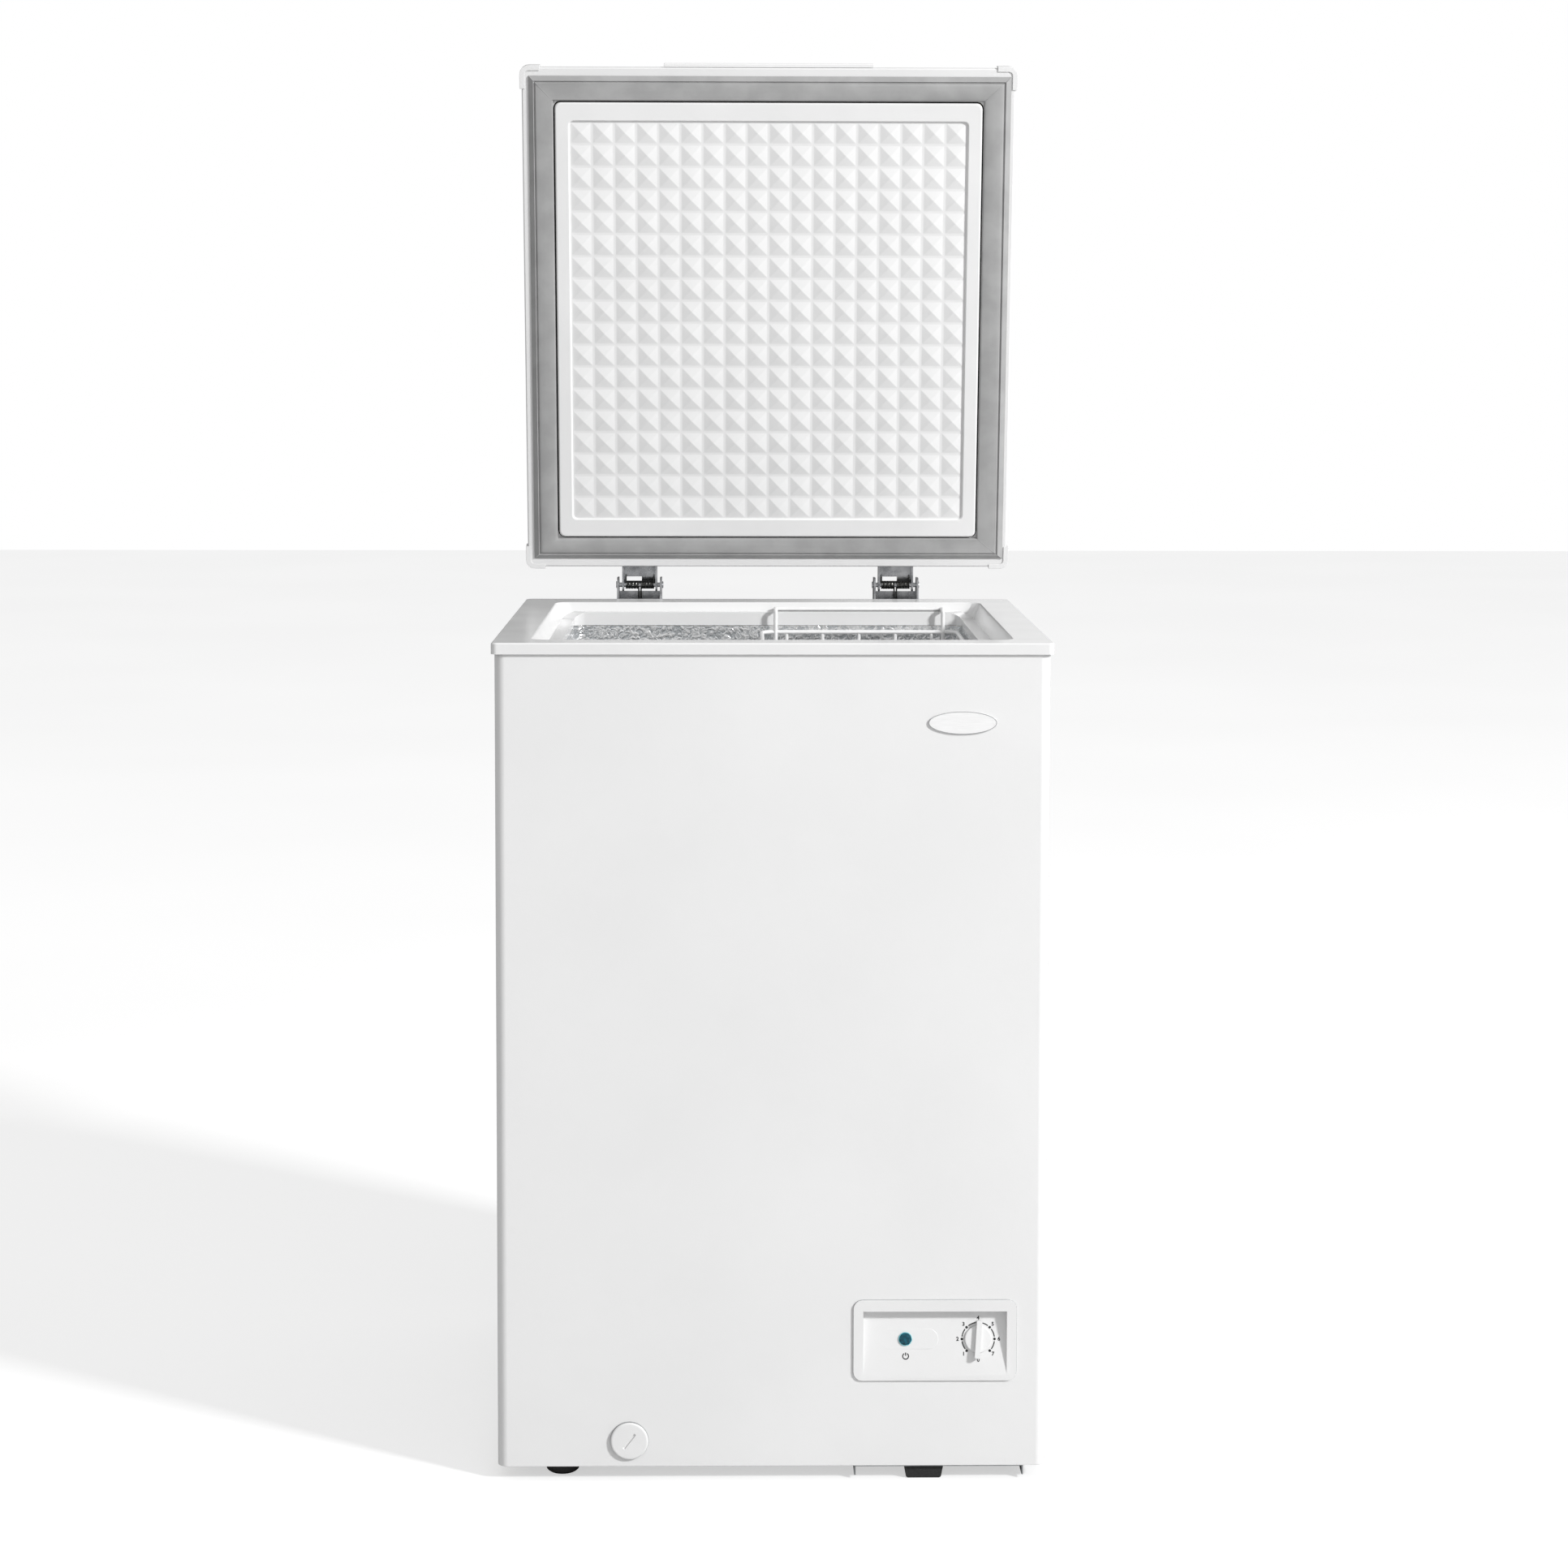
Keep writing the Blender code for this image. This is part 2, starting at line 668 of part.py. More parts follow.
def make_rear_grille(material, rubber, parent):
    x0 = BAY_X + 0.006
    x1 = HALF_CABINET - 0.006
    z0 = CABINET_BASE + 0.004
    z1 = BAY_CEILING - 0.006
    front = CABINET_BACK + CLEARANCE
    back = front + 0.002
    grille = add_object("rear_grille", box((x0, front, z0), (x1, back, z1)), material, parent, smooth=False)
    slots = 9
    pitch = 0.0130
    for row in range(slots):
        z = z1 - 0.026 - row * pitch
        cut(grille, box((x0 + 0.020, 0.5, z - 0.0030), (x1 - 0.020, 0.6, z + 0.0030)))
    gland_at = (x1 - 0.026, z0 + 0.0200)
    cut(grille, cylinder(0.0083, 0.5, 0.6, "Y", gland_at, 16))
    profile = [
        (0.0040, -0.0060),
        (0.0040, 0.0080),
        (0.0065, 0.0080),
        (0.0110, 0.0030),
        (0.0110, 0.0003),
        (0.0080, 0.0003),
        (0.0080, -0.0023),
        (0.0100, -0.0023),
        (0.0095, -0.0060),
    ]
    at = (gland_at[0], back, gland_at[1])
    add_object("cord_gland", turned(profile, "Y", at, 16), rubber, parent)


def floor_depth(z):
    """How far the sloping recess floor lies behind the bezel's face."""
    low, high = RECESS_BOX[2:]
    return RECESS_DEPTH * (z - low) / (high - low)


def floor_tilt():
    """The rotation about X that squares a piece to the recess floor."""
    low, high = RECESS_BOX[2:]
    return -atan2(RECESS_DEPTH, high - low)


def floor_point(centre):
    x, z = centre
    return Vector((x, FRONT_FACE - BEZEL_PROUD + floor_depth(z), z))


def on_floor(bm, centre):
    """Move a piece modelled round the origin, facing -Y, onto the sloping floor."""
    bmesh.ops.rotate(bm, cent=(0, 0, 0), matrix=Matrix.Rotation(floor_tilt(), 3, "X"), verts=bm.verts)
    bmesh.ops.translate(bm, vec=floor_point(centre), verts=bm.verts)
    return bm


def make_bezel(white, parent):
    x0, x1, z0, z1 = BEZEL_BOX
    face = FRONT_FACE - BEZEL_PROUD
    back = FRONT_FACE - CLEARANCE
    flange = prism(rounded_outline(x0, x1, z0, z1, 0.0085, 4), "Y", face, back)
    bezel = add_object("control_bezel", flange, white, parent)
    rx0, rx1, rz0, rz1 = RECESS_BOX
    wall = 0.0016
    shell = [
        (back - 0.0004, rz0 - wall),
        (face + 0.0040, rz0 - wall),
        (face + RECESS_DEPTH + wall, rz1 + wall),
        (back - 0.0004, rz1 + wall),
    ]
    unite(bezel, prism(shell, "X", rx0 - wall, rx1 + wall))
    hollow = [(face - 0.01, rz0), (face, rz0), (face + RECESS_DEPTH, rz1), (face - 0.01, rz1)]
    cut(bezel, prism(hollow, "X", rx0, rx1))
    cut(bezel, on_floor(cylinder(0.0036, -0.02, 0.02, "Y", segments=16), DIAL_CENTRE))
    cut(bezel, on_floor(cylinder(0.0052, -0.02, 0.02, "Y", segments=16), LAMP_CENTRE))


def make_lamp(material, parent):
    """The pilot lens: a domed button with a neck through the bezel."""
    profile = [
        (0.0, -0.0030),
        (0.0030, -0.0027),
        (0.0052, -0.0018),
        (0.0062, -0.0003),
        (0.0048, -0.0003),
        (0.0048, 0.0090),
        (0.0, 0.0090),
    ]
    add_object("pilot_lens", on_floor(turned(profile, "Y", (0, 0, 0), 24), LAMP_CENTRE), material, parent)


def make_thermostat(steel, parent):
    """The control body behind the bezel, with a blind bore for the spindle."""
    body = box((-0.018, 0.0080, -0.022), (0.018, 0.0340, 0.022))
    round_edges(body, body.edges[:], 0.002, 1)
    thermostat = add_object("thermostat_body", on_floor(body, DIAL_CENTRE), steel, parent)
    cut(thermostat, on_floor(cylinder(SPINDLE_BORE, 0.0, 0.0240, "Y", segments=16), DIAL_CENTRE))


def make_knob(white, steel, axis):
    """The thermostat knob, measured from its axis: a low disc with a raised bar grip."""
    disc = [
        (0.0, -0.0026),
        (0.0118, -0.0026),
        (0.0128, -0.0020),
        (0.0132, -0.0004),
        (0.0, -0.0004),
    ]
    knob = add_object("thermostat_knob", turned(disc, "Y", (0, 0, 0), 32), white, axis)
    grip = rounded_outline(-0.0026, 0.0026, -0.0180, 0.0182, 0.0012, 2)
    unite(knob, prism(grip, "Y", -0.0062, -0.0012))
    add_object("thermostat_spindle", cylinder(SPINDLE_RADIUS, 0.0, 0.0230, "Y", segments=16), steel, axis)


def make_badge(silver, parent):
    x, z = BADGE_CENTRE
    outline = []
    steps = 32
    for step in range(steps):
        angle = 2 * pi * step / steps
        outline.append((x + 0.0328 * cos(angle), z + 0.0112 * sin(angle)))
    back = FRONT_FACE - CLEARANCE
    add_object("oval_badge", prism(outline, "Y", back - 0.0012, back), silver, parent)


def make_drain(white, grey, tube_axis, cap_axis, plug_axis):
    """The drain tube slides forward, its cap turns, and the plug in the tub's floor lifts."""
    face = FRONT_FACE - CLEARANCE
    profile = [
        (0.0075, face - 0.0008),
        (0.0075, DRAIN_Y - 0.010),
        (0.0108, DRAIN_Y - 0.010),
        (0.0108, face - 0.0008),
    ]
    shape = turned(profile, "Y", (0, 0, 0), 20)
    add_object("drain_tube", shape, grey, tube_axis)
    cap = [
        (0.0, face - 0.0034),
        (0.0160, face - 0.0034),
        (0.0176, face - 0.0028),
        (0.0182, face - 0.0018),
        (0.0182, face - 0.0011),
        (0.0, face - 0.0011),
    ]
    item = add_object("drain_cap", turned(cap, "Y", (0, 0, 0), 36), white, cap_axis)
    slot = box((-0.0011, face - 0.0050, -0.0088), (0.0011, face - 0.0020, 0.0088))
    bmesh.ops.rotate(slot, cent=(0, 0, 0), matrix=Matrix.Rotation(radians(38), 3, "Y"), verts=slot.verts)
    cut(item, slot)
    plug = [
        (0.0, LINER_FLOOR - 0.012),
        (0.0090, LINER_FLOOR - 0.012),
        (0.0095, LINER_FLOOR + CLEARANCE),
        (0.0150, LINER_FLOOR + CLEARANCE),
        (0.0150, LINER_FLOOR + 0.0020),
        (0.0060, LINER_FLOOR + 0.0030),
        (0.0045, LINER_FLOOR + 0.0110),
        (0.0, LINER_FLOOR + 0.0115),
    ]
    add_object("drain_plug", turned(plug, "Z", (0, 0, -plug_axis.location.z), 20), white, plug_axis)


def make_hinge(side, hinge_x, plated, steel, parent):
    """The fixed half of a hinge: bracket, pivot pin, double torsion spring and two screws."""
    half = BRACKET_HALF
    thick = HINGE_SHEET
    foot = CABINET_BACK + CLEARANCE
    lip = COLLAR_DEPTH + 0.0006
    web = PIN_Y + 0.0142
    low = PIN_Z - 0.095
    cheek = [
        (foot, low),
        (web + thick, low),
        (web + thick, PIN_Z - 0.006),
        (PIN_Y + 0.0085, PIN_Z + 0.0085),
        (PIN_Y - 0.0130, PIN_Z + 0.0090),
        (lip + 0.0020, PIN_Z + 0.0040),
        (lip, PIN_Z - 0.0010),
        (lip, COLLAR_TOP - LIP_HEIGHT - 0.0010),
        (foot, COLLAR_TOP - LIP_HEIGHT - 0.0010),
    ]
    left = hinge_x - half
    right = hinge_x + half
    flank = prism(cheek, "X", left, left + thick)
    bracket = add_object(f"hinge_bracket_{side}", flank, plated, parent, False)
    unite(bracket, prism(cheek, "X", right - thick, right))
    back = (left + 0.0004, web, low), (right - 0.0004, web + thick - 0.0002, PIN_Z - 0.008)
    unite(bracket, box(*back))
    ear_top = COLLAR_TOP - LIP_HEIGHT - 0.0050
    for start, end in ((left - 0.0160, left + 0.0004), (right - 0.0004, right + 0.0160)):
        unite(bracket, box((start, foot + 0.0001, low + 0.010), (end, foot + thick, ear_top)))
    for ear, sign in (("a", -1), ("b", 1)):
        at = (hinge_x + sign * 0.0330, COLLAR_TOP - 0.050)
        cut(bracket, cylinder(0.0028, 0.53, foot + 0.006, "Y", at, 12))
        head = foot + thick + CLEARANCE
        profile = [
            (0.0, foot - 0.0014),
            (0.0022, foot - 0.0014),
            (0.0022, head),
            (0.0044, head),
            (0.0044, head + 0.0012),
            (0.0026, head + 0.0026),
            (0.0, head + 0.0028),
        ]
        name = f"bracket_screw_{side}_{ear}"
        add_object(name, turned(profile, "Y", (at[0], 0, at[1]), 12), steel, parent)
    cut(bracket, cylinder(PIN_HOLE, left - 0.01, right + 0.01, "X", (PIN_Y, PIN_Z), 16))
    reach = half + CLEARANCE
    profile = [
        (0.0, -reach - 0.0012),
        (0.0036, -reach - 0.0012),
        (0.0040, -reach),
        (PIN_RADIUS, -reach),
        (PIN_RADIUS, reach),
        (0.0040, reach),
        (0.0036, reach + 0.0012),
        (0.0, reach + 0.0012),
    ]
    add_object(f"hinge_pin_{side}", turned(profile, "X", (hinge_x, PIN_Y, PIN_Z), 16), steel, parent)
    profile = [(0.0031, -0.0158), (0.0047, -0.0158), (0.0047, 0.0158), (0.0031, 0.0158)]
    coil = turned(profile, "X", (hinge_x, PIN_Y, PIN_Z), 16)
    spring = add_object(f"hinge_spring_{side}", coil, steel, parent)
    leg = (hinge_x - 0.0010, PIN_Y + 0.0034, PIN_Z - 0.0240), (hinge_x + 0.0010, PIN_Y + 0.0054, PIN_Z)
    unite(spring, box(*leg))


def make_leaf(side, hinge_x, plated, steel, lid):
    """The moving half of a hinge, as it lies with the lid closed."""
    thick = HINGE_SHEET
    half = LEAF_HALF
    wall = LID_BACK - 0.0020
    lip = COLLAR_DEPTH
    top = PIN_Z + 0.0120
    cheek = [
        (lip, top),
        (PIN_Y + 0.0040, top),
        (PIN_Y + 0.0070, PIN_Z + 0.0070),
        (PIN_Y + 0.0070, PIN_Z - 0.0010),
        (PIN_Y + 0.0040, PIN_Z - 0.0060),
        (PIN_Y - 0.0030, PIN_Z - 0.0065),
        (lip, PIN_Z - 0.0010),
    ]
    left = hinge_x - half
    right = hinge_x + half
    leaf = lid_object(f"hinge_leaf_{side}", prism(cheek, "X", left, left + thick), plated, lid, False)
    unite_lid(leaf, prism(cheek, "X", right - thick, right))
    web_low = top - thick
    web = (left + 0.0004, wall + 0.0002, web_low), (right - 0.0004, PIN_Y + 0.0038, top - 0.0001)
    unite_lid(leaf, box(*web))
    plate = (left + 0.0002, wall, web_low + 0.0002), (right - 0.0002, wall + thick, LID_UNDER + 0.0440)
    unite_lid(leaf, box(*plate))
    window = (hinge_x - 0.0160, PIN_Y - 0.0072, PIN_Z), (hinge_x + 0.0020, PIN_Y - 0.0020, top + 0.01)
    cut_lid(leaf, box(*window))
    cut_lid(leaf, cylinder(PIN_HOLE, left - 0.01, right + 0.01, "X", (PIN_Y, PIN_Z), 16))
    for number, offset in (("a", -0.0100), ("b", 0.0100)):
        at = (hinge_x + offset, LID_UNDER + 0.0320)
        cut_lid(leaf, cylinder(0.0026, wall - 0.01, wall + 0.01, "Y", at, 12))
        head = wall + thick + CLEARANCE
        profile = [
            (0.0, wall - 0.0100),
            (0.0021, wall - 0.0090),
            (0.0021, head),
            (0.0040, head),
            (0.0038, head + 0.0008),
            (0.0, head + 0.0014),
        ]
        name = f"leaf_screw_{side}_{number}"
        lid_object(name, turned(profile, "Y", (at[0], 0, at[1]), 12), steel, lid)


def lid_object(name, bm, material, lid, smooth=True):
    """Add a piece given in closed-lid coordinates, measured from the hinge axis."""
    bmesh.ops.translate(bm, vec=(0, -PIN_Y, -PIN_Z), verts=bm.verts)
    return add_object(name, bm, material, lid, smooth)


def cut_lid(item, bm):
    bmesh.ops.translate(bm, vec=(0, -PIN_Y, -PIN_Z), verts=bm.verts)
    cut(item, bm)


def unite_lid(item, bm):
    bmesh.ops.translate(bm, vec=(0, -PIN_Y, -PIN_Z), verts=bm.verts)
    unite(item, bm)


def lid_loop(inset, height, radius):
    half = LID_WIDTH / 2 - inset
    return level_loop(half, LID_FRONT + inset, LID_BACK - inset, radius, height)


def panel_loop(inset, height, radius):
    return level_loop(PANEL_HALF - inset, PANEL_FRONT + inset, PANEL_BACK - inset, radius, height)


def field_loop(inset, height, radius):
    """A loop round the panel's field, inside its flat border."""
    half = PANEL_HALF - PANEL_BORDER_X - inset
    reach = PANEL_BORDER_Y + inset
    return level_loop(half, PANEL_FRONT + reach, PANEL_BACK - reach, radius, height)


def make_lid_skin(enamel, lid):
    low = LID_UNDER + 0.0033
    top = LID_TOP
    inset = 0.0023
    loops = [
        lid_loop(inset + SHEET, low, 0.005),
        lid_loop(inset + SHEET, top - SHEET - 0.004, 0.005),
        lid_loop(inset + SHEET + 0.004, top - SHEET, 0.003),
    ]
    outer = [
        lid_loop(inset + 0.0052, top, 0.003),
        lid_loop(inset + 0.0017, top - 0.0015, 0.005),
        lid_loop(inset, top - 0.0052, 0.006),
        lid_loop(inset, low, 0.006),
    ]
    skin = shell_between(loops, outer)
    skin_item = lid_object("lid_skin", skin, enamel, lid)
    for hinge_x in HINGE_X:
        for offset in (-0.0100, 0.0100):
            at = (hinge_x + offset, LID_UNDER + 0.0320)
            cut_lid(skin_item, cylinder(0.0026, LID_BACK - 0.010, LID_BACK + 0.010, "Y", at, 12))


def shell_between(inner, outer):
    """A pan with wall thickness: the inner loops run from its edge to the inside of its bottom."""
    bm = bmesh.new()
    rows = [[bm.verts.new(point) for point in loop] for loop in inner + outer]
    count = len(rows[0])
    turn = len(inner)
    for number, (row, following) in enumerate(zip(rows, rows[1:] + rows[:1])):
        if number == turn - 1:
            continue
        for index in range(count):
            after = (index + 1) % count
            bm.faces.new((row[index], row[after], following[after], following[index]))
    bm.faces.new(rows[turn - 1])
    bm.faces.new(rows[turn])
    return bm


def make_lid_foam(material, lid):
    inset = 0.0023 + SHEET + CLEARANCE + 0.0040
    low = LID_UNDER + 0.0036
    high = LID_TOP - SHEET - 0.0012
    half = LID_WIDTH / 2 - inset
    back = LID_BACK - inset - 0.0100
    foam = box((-half, LID_FRONT + inset, low), (half, back, high))
    lid_object("lid_foam", foam, material, lid, False)


def make_lid_trim(white, lid):
    """The moulded frame round the lid's underside, with a lip up the outside."""
    low = LID_UNDER
    thick = 0.0030
    lip = 0.0120
    inner = panel_loop(-PANEL_SLOT, low, 0.0076)
    inner_top = panel_loop(-PANEL_SLOT, low + thick, 0.0076)
    loops = [
        lid_loop(0.0012, low, 0.0065),
        lid_loop(0.0, low + 0.0012, 0.0075),
        lid_loop(0.0, low + lip, 0.0075),
        lid_loop(0.0020, low + lip, 0.0060),
        lid_loop(0.0020, low + thick, 0.0060),
        inner_top,
        inner,
    ]
    lid_object("lid_trim", ring(loops), white, lid)


def make_corner_caps(white, lid):
    """Small moulded caps hooked round the four corners of the lid's trim."""
    low = LID_UNDER - 0.0011
    high = LID_UNDER + 0.0150
    under = LID_UNDER - CLEARANCE
    names = {(-1, -1): "front_left", (1, -1): "front_right", (-1, 1): "rear_left", (1, 1): "rear_right"}
    outer = CLEARANCE + 0.0019
    long_x = 0.0195
    long_y = 0.0230
    reach = 0.0034
    middle = (LID_FRONT + LID_BACK) / 2
    for (sign_x, sign_y), label in names.items():
        floor = cap_band(outer, -reach, long_x, long_y)
        wall = cap_band(outer, CLEARANCE, long_x, long_y)
        bm = prism(floor, "Z", low, under)
        bmesh.ops.transform(bm, matrix=Matrix.Diagonal((sign_x, sign_y, 1, 1)), verts=bm.verts)
        bmesh.ops.translate(bm, vec=(0, middle, 0), verts=bm.verts)
        cap = lid_object(f"lid_corner_cap_{label}", bm, white, lid)
        bm = prism(wall, "Z", under - 0.0004, high)
        bmesh.ops.transform(bm, matrix=Matrix.Diagonal((sign_x, sign_y, 1, 1)), verts=bm.verts)
        bmesh.ops.translate(bm, vec=(0, middle, 0), verts=bm.verts)
        unite_lid(cap, bm)


def cap_band(outside, inside, long_x, long_y):
    """The plan of one corner band between two distances from the trim's edge."""
    half_x = LID_WIDTH / 2
    half_y = LID_DEPTH / 2
    points = []
    for offset, order in ((outside, 1), (inside, -1)):
        radius = max(0.0075 + offset, 0.003)
        arc = [(half_x - long_x, half_y + offset)]
        for step in range(5):
            angle = radians(90 - 90 * step / 4)
            cx = half_x + offset - radius
            cy = half_y + offset - radius
            arc.append((cx + radius * cos(angle), cy + radius * sin(angle)))
        arc.append((half_x + offset, half_y - long_y))
        points += arc[::order]
    return points


def make_gasket(grey, lid):
    """A soft magnetic seal, mitred at the corners: a sloping outer lip, a groove and a magnet bead.

    The section runs from the outer edge (0) to the inner edge (1), with a drop from its base.
    """
    top = LID_UNDER - CLEARANCE
    section = [
        (0.00, 0.0000),
        (0.00, 0.0010),
        (0.03, 0.0014),
        (0.20, 0.0046),
        (0.22, 0.0030),
        (0.26, 0.0030),
        (0.29, 0.0046),
        (0.40, 0.0056),
        (0.62, 0.0060),
        (0.84, 0.0056),
        (0.96, 0.0044),
        (1.00, 0.0022),
        (1.00, 0.0000),
    ]
    inner_x = PANEL_HALF + PANEL_SLOT
    outer = (*GASKET_X, GASKET_FRONT, GASKET_BACK)
    inner = (-inner_x, inner_x, PANEL_FRONT - PANEL_SLOT, PANEL_BACK + PANEL_SLOT)
    loops = []
    for share, drop in section:
        x0, x1, y0, y1 = [a + (b - a) * share for a, b in zip(outer, inner)]
        z = top - drop
        loops.append([(x1, y1, z), (x0, y1, z), (x0, y0, z), (x1, y0, z)])
    lid_object("lid_gasket", ring(loops), grey, lid)


def make_lid_panel(white, lid):
    """The inner panel: a proud flat border round a shallow field."""
    low = LID_UNDER - PANEL_PROUD
    high = LID_UNDER + 0.0030
    skin = 0.0012
    step = 0.0012
    field = low + 0.0028
    visible = [
        panel_loop(0.0, high, 0.006),
        panel_loop(0.0, low + 0.0012, 0.006),
        panel_loop(0.0012, low, 0.006),
        field_loop(0.0, low, 0.005),
        field_loop(step, field, 0.005),
    ]
    hidden = [
        field_loop(step - skin, field + skin, 0.005),
        field_loop(-skin, low + skin, 0.005),
        panel_loop(0.0012 + skin, low + skin, 0.005),
        panel_loop(skin, low + 0.0012 + skin, 0.005),
        panel_loop(skin, high, 0.005),
    ]
    lid_object("lid_inner_panel", shell_between(visible, hidden), white, lid)


def make_handle(white, lid):
    """A pull strip along the lid's front edge with a finger groove under it."""
    back = LID_FRONT - CLEARANCE
    low = LID_UNDER + 0.0020
    outline = [
        (back, low),
        (back - 0.0016, low),
        (back - 0.0026, low + 0.0050),
        (back - 0.0038, low + 0.0060),
        (back - 0.0040, low + 0.0090),
        (back - 0.0034, low + 0.0098),
        (back, low + 0.0098),
    ]
    lid_object("lid_handle", prism(outline, "X", -0.113, 0.113), white, lid)


def make_basket(white, parent):
    """The wire basket as a thin-walled box whose windows leave bars of the wire's width."""
    x0, x1 = BASKET_X
    y0, y1 = BASKET_Y
    z1 = BASKET_RIM + WIRE / 2
    z0 = BASKET_RIM - BASKET_HEIGHT
    basket = add_object("basket", box((x0, y0, z0), (x1, y1, z1)), white, parent, smooth=False)
    cut(basket, box((x0 + WIRE, y0 + WIRE, z0 + WIRE), (x1 - WIRE, y1 - WIRE, z1 + 0.05)))
    columns = cells(x0, x1, 5)
    rows = cells(y0, y1, 7)
    levels = cells(z0, z1, 4)
    windows = grid_cutter(columns, levels, lambda u, v: ((u[0], y0 - 0.01, v[0]), (u[1], y1 + 0.01, v[1])))
    cut(basket, windows)
    windows = grid_cutter(rows, levels, lambda u, v: ((x0 - 0.01, u[0], v[0]), (x1 + 0.01, u[1], v[1])))
    cut(basket, windows)
    windows = grid_cutter(columns, rows, lambda u, v: ((u[0], v[0], z0 - 0.01), (u[1], v[1], z0 + 0.01)))
    cut(basket, windows)
    make_hangers(basket)


def cells(low, high, count):
    """The gaps between evenly spaced bars, as pairs of limits."""
    pitch = (high - low - WIRE) / count
    return [(low + WIRE + pitch * index, low + pitch * (index + 1)) for index in range(count)]


def grid_cutter(across, along, place):
    bm = bmesh.new()
    for u in across:
        for v in along:
            low, high = place(u, v)
            bm = join(bm, box(low, high))
    return bm


def make_hangers(basket):
    """Two posts at each end, each pair joined by a bar that lies on the collar's ledge."""
    top = COLLAR_TOP - 0.0042
    rest = COLLAR_TOP - LEDGE_DROP_END + CLEARANCE
    y0, y1 = BASKET_Y
    ends = ((y1 - WIRE, y1, 0.4855), (y0 + WIRE, y0, 0.0425))
    for inner, outer, hook in ends:
        near = min(inner, outer)
        far = max(inner, outer)
        for x in HANGER_X:
            low = (x - WIRE / 2, near, BASKET_RIM - 0.030)
            unite(basket, box(low, (x + WIRE / 2, far, top)))
            low = (x - WIRE / 2 + 0.0001, min(inner, hook), rest + 0.0002)
            unite(basket, box(low, (x + WIRE / 2 - 0.0001, max(inner, hook), top - 0.0002)))
        low = (HANGER_X[0] - WIRE / 2 + 0.0002, min(hook, hook - WIRE), rest)
        high = (HANGER_X[1] + WIRE / 2 - 0.0002, max(hook, hook - WIRE), rest + WIRE)
        if hook < y0:
            low = (low[0], hook, low[2])
            high = (high[0], hook + WIRE, high[2])
        unite(basket, box(low, high))


def build():
    clear_scene()
    enamel = make_material("white_enamel", (0.80, 0.80, 0.80), 0.30)
    white = make_material("white_plastic", (0.78, 0.78, 0.77), 0.35)
    coated = make_material("white_coated_wire", (0.85, 0.85, 0.85), 0.35)
    gasket = make_material("grey_pvc", (0.36, 0.36, 0.36), 0.55)
    aluminium = make_material("stucco_aluminium", (0.75, 0.76, 0.77), 0.25, 1.0)
    galvanised = make_material("galvanised_steel", (0.55, 0.56, 0.57), 0.40, 1.0)
    nickel = make_material("nickel_plate", (0.60, 0.60, 0.60), 0.22, 1.0)
    foam = make_material("polyurethane_foam", (0.80, 0.70, 0.45), 0.90)
    copper = make_material("copper_tube", (0.80, 0.45, 0.32), 0.30, 1.0)
    black = make_material("black_enamel", (0.02, 0.02, 0.02), 0.35)
    rubber = make_material("black_rubber", (0.02, 0.02, 0.02), 0.80)
    lens = make_material("teal_lens", (0.0, 0.12, 0.16), 0.12)
    silver = make_material("brushed_badge", (0.80, 0.80, 0.80), 0.30, 0.6)

    freezer = make_empty("freezer", (0, Y_SHIFT, 0))
    make_collar(white, freezer)
    make_wrap(enamel, freezer)
    make_back_panel(galvanised, freezer)
    make_bottom_panel(galvanised, freezer)
    make_bay_panel(galvanised, freezer)
    make_foam(foam, freezer)
    make_liner(aluminium, freezer)
    make_evaporator(aluminium, freezer)
    make_condenser(copper, freezer)
    make_base_plate(galvanised, freezer)
    make_feet(rubber, freezer)
    make_compressor(black, rubber, freezer)
    make_bay_parts(black, copper, freezer)
    make_rear_grille(galvanised, rubber, freezer)
    make_bezel(white, freezer)
    make_lamp(lens, freezer)
    make_thermostat(galvanised, freezer)
    make_badge(silver, freezer)

    knob_axis = make_empty("knob_axis", floor_point(DIAL_CENTRE), freezer)
    knob_axis.rotation_mode = "YXZ"
    knob_axis.rotation_euler = (floor_tilt(), radians(KNOB_TILT_DEG), 0)
    make_knob(white, galvanised, knob_axis)
    tube_axis = make_empty("drain_tube_axis", (DRAIN_CENTRE[0], 0, DRAIN_CENTRE[1]), freezer)
    cap_axis = make_empty("drain_cap_axis", (DRAIN_CENTRE[0], 0, DRAIN_CENTRE[1]), freezer)
    plug_axis = make_empty("drain_plug_axis", (DRAIN_CENTRE[0], DRAIN_Y, LINER_FLOOR), freezer)
    make_drain(white, white, tube_axis, cap_axis, plug_axis)

    lid_axis = make_empty("lid_axis", (0, PIN_Y, PIN_Z), freezer)
    lid_axis.rotation_euler = (-radians(LID_OPEN_DEG), 0, 0)
    make_lid_skin(enamel, lid_axis)
    make_lid_foam(foam, lid_axis)
    make_lid_trim(white, lid_axis)
    make_corner_caps(white, lid_axis)
    make_gasket(gasket, lid_axis)
    make_lid_panel(white, lid_axis)
    make_handle(white, lid_axis)
    for side, hinge_x in zip(("left", "right"), HINGE_X):
        make_hinge(side, hinge_x, nickel, nickel, freezer)
        make_leaf(side, hinge_x, nickel, nickel, lid_axis)

    make_basket(coated, freezer)


build()
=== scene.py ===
# Compact chest freezer with its lid up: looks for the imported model
import math
import bmesh
import bpy
from mathutils import Matrix, Vector


